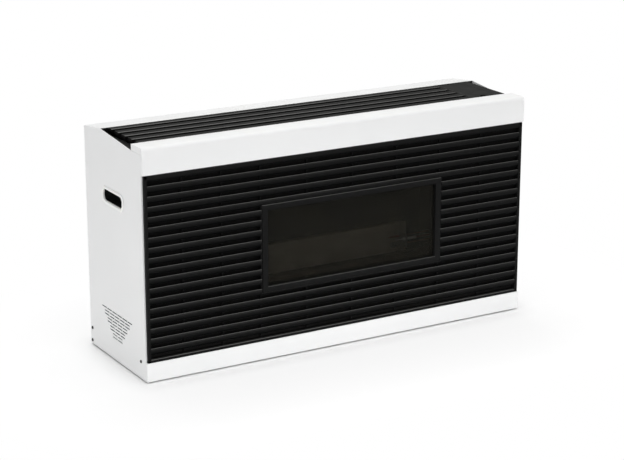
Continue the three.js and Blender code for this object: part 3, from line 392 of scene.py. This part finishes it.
def heatproof_black():
    """Brushed-on heatproof black: dead matt, greyer where it has been hot."""
    material, tree, surface, place = new_material("heatproof_black_paint", **{"Specular IOR Level": 0.15})
    link(tree, surface, Base_Color=blend(tree, noise(tree, place, 120, 4), "#0D0D0D", "#171615"),
         Roughness=ramp(tree, noise(tree, place, 10, 3), [(0.3, 0.75), (0.7, 0.9)]),
         Normal=bump(tree, noise(tree, place, 4, 4), 0.1, 0.4))
    return material


def smoked_glass():
    """Smoked heat resisting glass: each face holds back nearly half of the light, so the fire bed shows
    dimly behind it. A dull brown film of deposit in soft patches takes away its mirror reflection."""
    material, tree, surface, place = new_material("smoked_heat_glass", **{
        "Specular IOR Level": 0.0, "Roughness": 0.5})
    painted_light_and_dust = noise(tree, place, 60, 5, 0.6)
    link(tree, surface, Base_Color=blend(tree, painted_light_and_dust, "#1D1E1D", "#292721"),
         Alpha=ramp(tree, painted_light_and_dust, [(0.3, 0.43), (0.75, 0.5)]))
    return material


def zinc_sheet():
    """Hot dip zinc on sheet steel: interlocked crystals about 8 mm across, each with its own shade."""
    material, tree, surface, place = new_material("spangled_zinc_sheet", **{"Metallic": 1.0})
    spangle = node(tree, "TexVoronoi", {"Vector": place, "Scale": 1 / (8 * MM), "Randomness": 1.0})
    shade = node(tree, "SeparateColor", {"Color": spangle.outputs["Color"]}).outputs["Red"]
    link(tree, surface, Base_Color=ramp(tree, shade, [(0.0, "#8D9193"), (1.0, "#B9BCBE")]),
         Roughness=ramp(tree, shade, [(0.0, 0.34), (1.0, 0.52)]),
         Normal=bump(tree, noise(tree, place, 3, 3), 0.03, 0.3))
    return material


def bright_steel():
    """Plated mild steel: clean, with fine turning marks and a faint yellow passivate."""
    material, tree, surface, place = new_material("plated_steel", **{"Metallic": 1.0})
    marks = node(tree, "TexWave", {
        "Vector": place, "Scale": 1 / (1.5 * MM), "Distortion": 2.0, "Detail": 2.0,
    }, bands_direction="DIAGONAL").outputs["Fac"]
    link(tree, surface, Base_Color=blend(tree, noise(tree, place, 9, 3), "#A9A69E", "#C3C3C1"),
         Roughness=ramp(tree, marks, [(0.0, 0.24), (1.0, 0.38)]),
         Normal=bump(tree, marks, 0.01, 0.25))
    return material


def heated_steel():
    """Stainless steel after years of flame: straw to brown temper colours in soft bands, and a dull skin."""
    material, tree, surface, place = new_material("heat_tinted_steel", **{"Metallic": 1.0})
    tint = noise(tree, place, 45, 3)
    link(tree, surface, Base_Color=ramp(tree, tint, [(0.3, "#5C5044"), (0.5, "#4A3A2E"), (0.7, "#3A3634")]),
         Roughness=ramp(tree, noise(tree, place, 8, 4), [(0.3, 0.42), (0.7, 0.6)]),
         Normal=bump(tree, noise(tree, place, 3, 3), 0.03, 0.3))
    return material


def blacked_steel():
    """Chemically blackened screw steel: a thin dark oxide, rubbed to grey in small patches."""
    material, tree, surface, place = new_material("blacked_steel", **{"Specular IOR Level": 0.5})
    wear = noise(tree, place, 2, 4, 0.6)
    link(tree, surface, Base_Color=blend(tree, wear, "#161616", "#2C2C2D"),
         Roughness=ramp(tree, wear, [(0.3, 0.3), (0.7, 0.45)]), Normal=bump(tree, wear, 0.03, 0.3))
    return material


def turned_metal(name, dark, light, metal_roughness):
    """Brass or copper: warm, duller and darker in cloudy patches where it has tarnished."""
    material, tree, surface, place = new_material(name, **{"Metallic": 1.0})
    tarnish = noise(tree, place, 14, 5, 0.6)
    low, high = metal_roughness
    link(tree, surface, Base_Color=blend(tree, ramp(tree, tarnish, [(0.35, 0.0), (0.65, 1.0)]), dark, light),
         Roughness=ramp(tree, tarnish, [(0.3, high), (0.7, low)]),
         Normal=bump(tree, noise(tree, place, 2, 2), 0.02, 0.2))
    return material


def cast_aluminium():
    """Sand cast aluminium: grey, grainy skin from the mould."""
    material, tree, surface, place = new_material("sand_cast_aluminium", **{"Metallic": 1.0})
    grain = noise(tree, place, 1.6, 3, 0.6)
    link(tree, surface, Base_Color=blend(tree, noise(tree, place, 20, 3), "#8E9091", "#ABADAE"),
         Roughness=ramp(tree, grain, [(0.3, 0.45), (0.7, 0.62)]), Normal=bump(tree, grain, 0.12, 0.6))
    return material


def fibre_board():
    """Pressed refractory fibre: chalky and pitted, browned by the flames above the burner."""
    material, tree, surface, place = new_material("refractory_fibre_board", **{"Specular IOR Level": 0.1})
    pits = noise(tree, place, 5, 5, 0.65)
    height = node(tree, "SeparateXYZ", {"Vector": place}).outputs["Z"]
    flame_foot, flame_tip = 120 * MM, 210 * MM
    scorch = node(tree, "MapRange", {
        "Value": height, "From Min": flame_foot, "From Max": flame_tip}).outputs["Result"]
    base = blend(tree, noise(tree, place, 30, 4), "#D2C7B4", "#BDB19E")
    link(tree, surface, Base_Color=blend(tree, maths(tree, "MULTIPLY", scorch, pits), base, "#857866"),
         Roughness=ramp(tree, pits, [(0.2, 0.85), (0.8, 1.0)]), Normal=bump(tree, pits, 0.6, 0.8))
    return material


def woven_seal():
    """Plaited glass rope, darkened with graphite: the strands cross every 3 mm."""
    material, tree, surface, place = new_material("woven_glass_seal", **{
        "Specular IOR Level": 0.2, "Roughness": 0.9})
    plait = node(tree, "TexWave", {"Vector": place, "Scale": 1 / (3 * MM), "Distortion": 3.0},
                 bands_direction="DIAGONAL").outputs["Fac"]
    link(tree, surface, Base_Color=blend(tree, plait, "#161514", "#2B2A27"),
         Normal=bump(tree, plait, 0.4, 0.7))
    return material


def glazed_ceramic():
    """Glazed insulator: glossy off-white with a soft waviness in the glaze."""
    material, tree, surface, place = new_material("glazed_ceramic", **{
        "Specular IOR Level": 0.5, "Coat Weight": 0.5, "Coat Roughness": 0.05})
    link(tree, surface, Base_Color=blend(tree, noise(tree, place, 6, 3), "#E4E0D6", "#EFECE5"),
         Roughness=ramp(tree, noise(tree, place, 8, 2), [(0.3, 0.15), (0.7, 0.28)]))
    return material


def silicone():
    """Red silicone sleeve: waxy, slightly dusty."""
    material, tree, surface, place = new_material("red_silicone_sleeve", **{
        "Specular IOR Level": 0.35, "Subsurface Weight": 0.1, "Subsurface Scale": 0.001})
    link(tree, surface, Base_Color=blend(tree, noise(tree, place, 7, 4), "#6E2A22", "#853A30"),
         Roughness=ramp(tree, noise(tree, place, 3, 3), [(0.3, 0.5), (0.7, 0.7)]))
    return material


FINISHES = {
    "white_enamel": white_enamel(),
    "white_plastic": white_plastic(),
    "black_enamel": black_enamel(),
    "black_plastic": black_plastic(),
    "heatproof_black": heatproof_black(),
    "dark_glass": smoked_glass(),
    "zinc_sheet": zinc_sheet(),
    "steel": bright_steel(),
    "blacked_steel": blacked_steel(),
    "brass": turned_metal("turned_brass", "#8A6A2E", "#C5A25A", (0.25, 0.42)),
    "copper": turned_metal("drawn_copper", "#7A4530", "#BE7B58", (0.22, 0.45)),
    "cast_aluminium": cast_aluminium(),
    "ceramic": fibre_board(),
    "rope_seal": woven_seal(),
    "white_ceramic": glazed_ceramic(),
    "red_silicone": silicone(),
}


# ---- White casing ----
def upper_rail():
    """The rail's folded sheet, carried from end to end: its inner line, one sheet in, then its outer line
    with a bend of radius 8 at the top front edge. A cap with the same outer line shuts each end."""
    bend, fold, back, low = UPPER_RAIL["bend"], UPPER_RAIL["fold"], OUTLET_EDGE, UPPER_RAIL_BOTTOM
    inside, lip = FRONT + UPPER_RAIL["return"], HEIGHT - UPPER_RAIL["lip"]
    centre = (FRONT + bend, HEIGHT - bend)
    outer = np.vstack([
        arc((back - fold, HEIGHT - fold), fold, 0, 90, 4), arc(centre, bend, 90, 180, 16),
        arc((FRONT + fold, low + fold), fold, 180, 270, 4),
    ])
    section = np.vstack([
        [(inside, low), (inside, low + SHEET), (FRONT + SHEET + fold, low + SHEET)],
        [(FRONT + SHEET, low + SHEET + fold)], arc(centre, bend - SHEET, 180, 90, 14),
        [(back - SHEET, HEIGHT - SHEET), (back - SHEET, lip), (back, lip)], outer,
    ])
    cap = np.vstack([[(inside, low), (inside, SIDE_TOP), (back, SIDE_TOP)], outer])
    inset, overlap = SHEET + 0.4, 0.3
    return [carried(section, LEFT + inset, RIGHT - inset),
            carried(cap, LEFT, LEFT + inset + overlap), carried(cap, RIGHT - inset - overlap, RIGHT)]


def lower_rail():
    """A channel folded from sheet: a flat face with edges of radius 1.5 and a return along top and bottom."""
    (_, _, low), (_, _, high) = RAIL_LOW, RAIL_HIGH
    fold, back, overlap = LOWER_RAIL["fold"], FRONT + LOWER_RAIL["return"], 0.1
    outer = np.vstack([arc((FRONT + fold, high - fold), fold, 90, 180, 5),
                       arc((FRONT + fold, low + fold), fold, 180, 270, 5)])
    section = np.vstack([
        [(back, low), (back, low + SHEET), (FRONT + SHEET, low + SHEET), (FRONT + SHEET, high - SHEET)],
        [(back, high - SHEET), (back, high)], outer,
    ])
    cap = np.vstack([[(back, low), (back, high)], outer])
    return [carried(section, LEFT + SHEET, RIGHT - SHEET),
            carried(cap, LEFT, LEFT + SHEET + overlap), carried(cap, RIGHT - SHEET - overlap, RIGHT)]


def build_casing():
    white = FINISHES["white_enamel"]
    add_piece("upper_rail", upper_rail(), white, ["top_rail"], bevel=0.35)
    add_piece("lower_rail", lower_rail(), white, ["bottom_rail"], bevel=0.35)
    for name in ("side_panel_left", "side_panel_right"):
        softened_copy(name, white, 0.35)
    softened_copy("rear_deck", white, 0.5)
    softened_copy("back_panel", FINISHES["zinc_sheet"], 0.3)
    softened_copy("base_pan", FINISHES["zinc_sheet"], 0.3)


def grip_rim(side):
    """The moulded rim: a bead whose section is half of |u|^2 + |v|^2.5 = 1, from the slot's edge to
    its outer margin, on a short sleeve through the panel."""
    inner, outer, wall, soft = 0.4, GRIP["rim"], 2.0, 0.3
    face, end = RIGHT + soft, RIGHT - GRIP["sleeve"]
    t = np.radians(np.linspace(0, 180, 21))
    bead = np.stack([(inner + outer) / 2 + (outer - inner) / 2 * np.cos(t),
                     face + (GRIP["proud"] - soft) * np.sin(t) ** 0.8], 1)
    sleeve = [(inner, end + soft), (inner + soft, end), (wall - soft, end), (wall, end + soft), (wall, face)]
    return framed(np.vstack([bead, sleeve]), GRIP["width"], GRIP["height"], GRIP["corner"],
                  facing_side(side, GRIP["y"], GRIP["z"]), 14)


def grip_pocket(side):
    """The moulded pocket: outer wall, mouth edge, inner wall and a bottom fillet of radius 5."""
    inner, outer, fillet = POCKET["inner"], POCKET["outer"], POCKET["fillet"]
    mouth = RIGHT - GRIP["sleeve"] - 0.5
    floor = mouth - POCKET["depth"]
    section = np.vstack([
        [(outer, floor - POCKET["floor"]), (outer, mouth), (inner, mouth)],
        arc((inner - fillet, floor + fillet), fillet, 0, -90, 6), [(-fillet, floor)],
    ])
    return framed(section, GRIP["width"], GRIP["height"], GRIP["corner"],
                  facing_side(side, GRIP["y"], GRIP["z"]), 12, closed=False)


def build_grips():
    for side, word in ((-1, "left"), (1, "right")):
        add_piece(f"hand_slot_rim_{word}", [grip_rim(side)], FINISHES["white_plastic"],
                  [f"grip_rim_{word}"])
        add_piece(f"hand_slot_pocket_{word}", [grip_pocket(side)], FINISHES["black_plastic"],
                  [f"grip_cup_{word}"])


def screw_head(side, y, z):
    """A pan head with a cross recess. On a polar grid the head's height is 2.3 (1 - 0.75 s^4), with s the
    share of the radius, and the recess takes away 1.4 inside two bars 0.9 wide and 4.2 long."""
    s = np.concatenate([np.linspace(0.03, 1, 26), [1.0]])
    a = np.linspace(0, 2 * np.pi, 96, endpoint=False)
    u, v = SCREW["radius"] * np.outer(s, np.cos(a)), SCREW["radius"] * np.outer(s, np.sin(a))
    half, reach, slope = SCREW["bar"] / 2, SCREW["reach"] / 2, 0.22
    upright = np.minimum(half - np.abs(u), reach - np.abs(v))
    across = np.minimum(half - np.abs(v), reach - np.abs(u))
    sunk = np.clip(np.maximum(upright, across) / slope + 0.5, 0, 1)
    height = SCREW["height"] * (1 - 0.75 * s[:, None] ** 4) - SCREW["recess"] * sunk
    height[-1] = SCREW["rim"]
    loops = np.stack([side * (RIGHT + height), y + u, z + v], -1)
    return rings_joined(loops, False)


def build_screws():
    for side, word in ((-1, "left"), (1, "right")):
        for place in ("front", "rear_high", "rear_low"):
            name = f"side_screw_{word}_{place}"
            low, high = box_mm(name)
            y, z = (low[1] + high[1]) / 2, (low[2] + high[2]) / 2
            radius = SCREW["shank"]
            shank = turned([(radius, RIGHT - 8), (radius, RIGHT + 0.4)], facing_side(side, y, z), 20)
            add_piece(f"cross_head_{word}_{place}", [screw_head(side, y, z), shank],
                      FINISHES["blacked_steel"], [name])


# ---- Louvred front ----
def louvre(top, start, stop, up, down):
    """One blade, carried along X: an outer arc of radius 12 from up degrees above level to down degrees
    below it, the inner arc 2.2 behind it, and a half round tip of radius 1.1 at each edge."""
    radius, thickness = LOUVRES["radius"], LOUVRES["thickness"]
    centre = (FRONT + LOUVRES["set_back"] + radius, top - radius * math.sin(math.radians(LOUVRES["up"])))
    first, last = 180 - up, 180 + down
    middle, tip = radius - thickness / 2, thickness / 2

    def edge(angle, begin):
        at = math.radians(angle)
        spot = (centre[0] + middle * math.cos(at), centre[1] + middle * math.sin(at))
        return arc(spot, tip, begin, begin + 180, 6)

    outline = np.vstack([
        arc(centre, radius, first, last, 14), edge(last, last)[1:-1],
        arc(centre, radius - thickness, last, first, 14), edge(first, first + 180)[1:-1],
    ])
    return carried(outline, start, stop)


def louvred_grille():
    """Border, blades, posts and the sleeve round the window. The blades that meet the sleeve's top and
    bottom keep only the part of their arc that clears it."""
    low, high = GRILLE_LOW, GRILLE_HIGH
    side, top, bottom = (GRILLE_BORDER[k] for k in ("side", "top", "bottom"))
    back = FRONT + GRILLE_BORDER["depth"]
    left, right = low[0] + side, high[0] - side
    wall = SLEEVE["wall"]
    hole = BEZEL_HIGH - BEZEL_LOW + 2 * SLEEVE["gap"] + 2 * wall
    window_left, window_right = WINDOW[0] - hole[0] / 2, WINDOW[0] + hole[0] / 2
    window_low, window_high = WINDOW[2] - hole[2] / 2, WINDOW[2] + hole[2] / 2
    up, down = LOUVRES["up"], LOUVRES["down"]
    # The top border's lower edge is rolled back like a blade, so it darkens downwards.
    soft, roll, turn = 0.8, 7.0, 2.5
    upper = np.vstack([
        [(back, high[2]), (FRONT + soft, high[2])], arc((FRONT + soft, high[2] - soft), soft, 90, 180, 4),
        arc((FRONT + roll, high[2] - top + roll), roll, 180, 262, 12), [(back, high[2] - top)],
    ])
    lower = np.vstack([
        [(back, low[2]), (back, low[2] + bottom)],
        arc((FRONT + turn, low[2] + bottom - turn), turn, 90, 180, 8), [(FRONT, low[2])],
    ])
    shells = [carried(upper, low[0] + 0.3, high[0] - 0.3), carried(lower, low[0] + 0.3, high[0] - 0.3)]
    shells += [block(x, (FRONT, back), (low[2], high[2])) for x in ((low[0], left), (right, high[0]))]
    for index in range(LOUVRES["count"]):
        edge = LOUVRES["first_top"] - index * LOUVRES["pitch"]
        centre = edge - LOUVRES["radius"] * math.sin(math.radians(up))
        foot = centre - LOUVRES["radius"] * math.sin(math.radians(down))
        beside = [(left - 1, window_left + 1), (window_right - 1, right + 1)]
        if foot > window_high or edge < window_low:
            shells.append(louvre(edge, left - 1, right + 1, up, down))
            continue
        shells += [louvre(edge, start, stop, up, down) for start, stop in beside]
        if edge > window_high:
            cut = math.degrees(math.asin((window_high - centre) / LOUVRES["radius"]))
            shells.append(louvre(edge, window_left, window_right, up, -cut - 4))
        elif foot < window_low:
            cut = math.degrees(math.asin((window_low - centre) / LOUVRES["radius"]))
            shells.append(louvre(edge, window_left, window_right, cut - 4, down))
    half = POST["width"] / 2
    deep = (FRONT + POST["front"], FRONT + POST["back"])
    for x in POSTS:
        ends = (low[2] + 2, high[2] - 6)
        crosses = window_left - half < x < window_right + half
        spans = [(ends[0], window_low + 1), (window_high - 1, ends[1])] if crosses else [ends]
        shells += [block((x - half, x + half), deep, span) for span in spans]
    near, far = FRONT + SLEEVE["front"], FRONT + SLEEVE["back"]
    sleeve = [(0, near), (-wall, near), (-wall, far), (0, far)]
    shells.append(framed(sleeve, hole[0], hole[2], SLEEVE["corner"], facing_front(WINDOW[0], WINDOW[2]), 4))
    return shells


def window_bezel():
    """The window's frame: a face 13.5 wide with rolled edges of radius 1.4, folded back as a skirt on
    the outside and a collar on the inside."""
    size = BEZEL_HIGH - BEZEL_LOW
    back, roll, face, wall = BEZEL_HIGH[1], BEZEL["roll"], BEZEL["face"], BEZEL["wall"]
    section = np.vstack([
        arc((-roll, FRONT + roll), roll, 0, -90, 5), arc((-face + roll, FRONT + roll), roll, -90, -180, 5),
        [(-face, back - 0.2), (-face + wall, back - 0.2), (-face + wall, FRONT + 2), (-wall, FRONT + 2)],
        [(-wall, back), (0, back)],
    ])
    return framed(section, size[0], size[2], BEZEL["corner"], facing_front(WINDOW[0], WINDOW[2]), 6)


def build_front():
    black = FINISHES["black_enamel"]
    add_piece("louvred_grille", louvred_grille(), black, ["front_grille"], bevel=0.25)
    add_piece("window_bezel", [window_bezel()], black, ["window_frame"])


# ---- Outlet, lid and controls ----
def build_outlet():
    softened_copy("top_grille", FINISHES["black_enamel"], 0.2)
    softened_copy("control_lid", FINISHES["black_enamel"], 0.2, "lid")
    softened_copy("control_tray", FINISHES["black_plastic"], 0.5)


def fluted_knob():
    """A grip with 16 flutes: its radius at angle a is the taper's, less 1.3 (0.5 + 0.5 cos 16a)^3, above a
    smooth skirt. The top is dished, and a ridge on it points to the front."""
    x, y = (KNOB_LOW[0] + KNOB_HIGH[0]) / 2, (KNOB_LOW[1] + KNOB_HIGH[1]) / 2
    base, top = KNOB_LOW[2], KNOB_HIGH[2] - 0.8
    outer = (KNOB_HIGH[0] - KNOB_LOW[0]) / 2
    grip = outer - 3.5
    skirt = np.array([(grip - 6, base), (outer - 0.5, base), (outer, base + 0.6), (outer - 0.4, base + 3.0),
                      (outer - 1.4, base + 3.9), (grip - 4, base + 4)])
    body = np.array([(grip - 4, base + 3), (grip, base + 3.2), (grip - 0.1, base + 8),
                     (grip - 0.3, top - 3), (grip - 0.7, top - 1.2), (grip - 1.6, top - 0.2),
                     (grip - 2.6, top), (grip - 3.6, top - 0.4), (grip - 6, top - 0.7), (0.6, top - 0.8)])
    fluted = np.array([0, 1, 1, 1, 1, 0.6, 0, 0, 0, 0])  # share of the flutes' depth at each body point
    a = np.linspace(0, 2 * np.pi, 192, endpoint=False)
    wave = (0.5 + 0.5 * np.cos(FLUTES["count"] * a))[None, :] ** 3
    radius = body[:, :1] - FLUTES["depth"] * fluted[:, None] * wave
    height = np.broadcast_to(body[:, 1:], radius.shape)
    loops = np.stack([x + radius * np.cos(a), y + radius * np.sin(a), height], -1)
    ridge = rounded_loop(2.4, grip - 1, 1.1, 6) + (x, y - (grip - 1) / 2 - 0.4)
    pointer = carried(ridge, top - 1.5, top + 0.8, axis=2)
    return [rings_joined(loops, False), turned(skirt, standing(x, y), 96), pointer]


def push_button():
    """A round cap with an edge of radius 1.2 and a finger dish 0.9 deep, on its stem."""
    x, y = (BUTTON_LOW[0] + BUTTON_HIGH[0]) / 2, (BUTTON_LOW[1] + BUTTON_HIGH[1]) / 2
    top, outer = BUTTON_HIGH[2], (BUTTON_HIGH[1] - BUTTON_LOW[1]) / 2
    edge, deep, span = 1.2, 0.9, outer - 2.2
    roll = arc((outer - edge, top - edge), edge, 0, 90, 6)
    dish = [(outer - 2 - d, top - deep * (1 - (1 - d / span) ** 2)) for d in np.linspace(0, span, 8)]
    section = np.vstack([[(outer, BUTTON_LOW[2])], roll, dish])
    return [turned(section, standing(x, y), 64)]


def build_controls():
    add_piece("fluted_gas_knob", fluted_knob(), FINISHES["black_plastic"],
              ["gas_knob"], "knob")
    add_piece("igniter_push_button", push_button(), FINISHES["white_plastic"],
              ["igniter_button"], "button")


def finish_packed_pieces():
    """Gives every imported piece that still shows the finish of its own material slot. The burner, which
    stands in the flames, has steel of its own."""
    flame_worn = heated_steel()
    for part in frame["record"]["subparts"]:
        shown = NODES[part["node"]]
        in_flames = part["node"].startswith("burner_b")
        shown.data.materials.clear()
        shown.data.materials.append(flame_worn if in_flames else FINISHES[part["material_slot"]])


# ---- Stage ----
WORLD_STRENGTH = 0.25
SHADOW = {"near": 0.06, "far": 0.4, "near_white": 0.7}  # metres from the footprint; share of white at near


def build_stage():
    """A pale floor and world. Both show as white to the camera and through glass. The floor keeps its
    own shading under and just beside the casing, by its distance d = |max(|p| - half, 0)| from the
    footprint, so the heater's shadow stays on it."""
    mesh = bpy.data.meshes.new("floor")
    reach = 30.0
    corners = [(-reach, -reach, 0), (reach, -reach, 0), (reach, reach, 0), (-reach, reach, 0)]
    mesh.from_pydata(corners, [], [(0, 1, 2, 3)])
    floor = bpy.data.objects.new("floor", mesh)
    bpy.context.scene.collection.objects.link(floor)
    material = bpy.data.materials.new("pale_floor")
    material.use_nodes = True
    tree = material.node_tree
    tree.nodes.clear()
    path = node(tree, "LightPath").outputs
    seen = maths(tree, "MAXIMUM", path["Is Camera Ray"], path["Is Transmission Ray"])
    place = node(tree, "TexCoord").outputs["Object"]
    mirrored = node(tree, "VectorMath", {0: place}, operation="ABSOLUTE").outputs[0]
    half = (RIGHT * MM, -FRONT * MM, 0.0)
    outside = node(tree, "VectorMath", {0: mirrored, 1: half}, operation="SUBTRACT").outputs[0]
    beyond = node(tree, "VectorMath", {0: outside, 1: (0, 0, 0)}, operation="MAXIMUM").outputs[0]
    distance = node(tree, "VectorMath", {0: beyond}, operation="LENGTH").outputs["Value"]
    near = node(tree, "MapRange", {
        "Value": distance, "From Max": SHADOW["near"], "To Max": SHADOW["near_white"],
    }, interpolation_type="SMOOTHSTEP").outputs["Result"]
    far = node(tree, "MapRange", {
        "Value": distance, "From Min": SHADOW["near"], "From Max": SHADOW["far"],
    }, interpolation_type="SMOOTHSTEP").outputs["Result"]
    whiteness = maths(tree, "MAXIMUM", near, far)
    matt = node(tree, "BsdfDiffuse", {"Color": colour("#FAFAFA")})
    white = node(tree, "Emission", {"Color": (1, 1, 1, 1), "Strength": 1.0})
    share = maths(tree, "MULTIPLY", seen, whiteness)
    mixed = node(tree, "MixShader", {0: share, 1: matt.outputs[0], 2: white.outputs[0]})
    node(tree, "OutputMaterial", {"Surface": mixed.outputs[0]})
    mesh.materials.append(material)

    world = bpy.data.worlds.new("studio")
    bpy.context.scene.world = world
    world.use_nodes = True
    tree = world.node_tree
    tree.nodes.clear()
    path = node(tree, "LightPath").outputs
    seen = maths(tree, "MAXIMUM", path["Is Camera Ray"], path["Is Transmission Ray"])
    soft = node(tree, "Background", {"Color": (1, 1, 1, 1), "Strength": WORLD_STRENGTH})
    white = node(tree, "Background", {"Color": (1, 1, 1, 1), "Strength": 1.0})
    mixed = node(tree, "MixShader", {0: seen, 1: soft.outputs[0], 2: white.outputs[0]})
    node(tree, "OutputWorld", {"Surface": mixed.outputs[0]})


LAMPS = (  # name, place in metres, width and height in metres, watts
    ("overhead_softbox", (0.2, -0.3, 3.2), (4.6, 4.6), 112),
    ("front_softbox", (0.6, -4.2, 0.9), (2.4, 2.4), 21),
    ("side_softbox", (-4.0, -1.5, 0.9), (2.4, 2.4), 46),
    ("rear_fill", (0.3, 2.6, 2.0), (2.4, 2.4), 36),
    ("low_front_strip", (0.0, -0.55, 0.02), (1.3, 0.03), 1.15),
)


def build_lamps():
    """Soft lamps, all turned to the heater. Only the softboxes are mirrored in its surfaces: the fill
    stands for the pale backdrop behind, and the strip for the pool of light on the floor in front."""
    for name, place, (width, height), power in LAMPS:
        data = bpy.data.lights.new(name, "AREA")
        data.shape, data.size, data.size_y, data.energy = "RECTANGLE", width, height, power
        lamp = bpy.data.objects.new(name, data)
        lamp.location = place
        lamp.rotation_mode = "QUATERNION"
        lamp.rotation_quaternion = (Vector((0, 0, 0.25)) - Vector(place)).to_track_quat("-Z", "Y")
        lamp.visible_camera = False
        lamp.visible_glossy = name.endswith("softbox")
        bpy.context.scene.collection.objects.link(lamp)


VIEW = {
    "azimuth": -30.24, "elevation": 16.64, "distance": 4.155, "target": (0.0086, 0.006, 0.2218),
    "lens": 108.14,
}


def build_camera():
    """The photograph's viewpoint: azimuth and elevation about a point inside the casing."""
    a, e = math.radians(VIEW["azimuth"]), math.radians(VIEW["elevation"])
    back = Vector((math.sin(a) * math.cos(e), -math.cos(a) * math.cos(e), math.sin(e)))
    data = bpy.data.cameras.new("camera")
    data.sensor_width, data.lens = 36, VIEW["lens"]
    camera = bpy.data.objects.new("camera", data)
    camera.location = Vector(VIEW["target"]) + back * VIEW["distance"]
    camera.rotation_mode = "QUATERNION"
    camera.rotation_quaternion = (-back).to_track_quat("-Z", "Y")
    bpy.context.scene.collection.objects.link(camera)
    bpy.context.scene.camera = camera
    bpy.context.scene.view_settings.view_transform = "Standard"


build_camera()
build_stage()
build_lamps()
finish_packed_pieces()
build_casing()
build_grips()
build_screws()
build_front()
build_outlet()
build_controls()
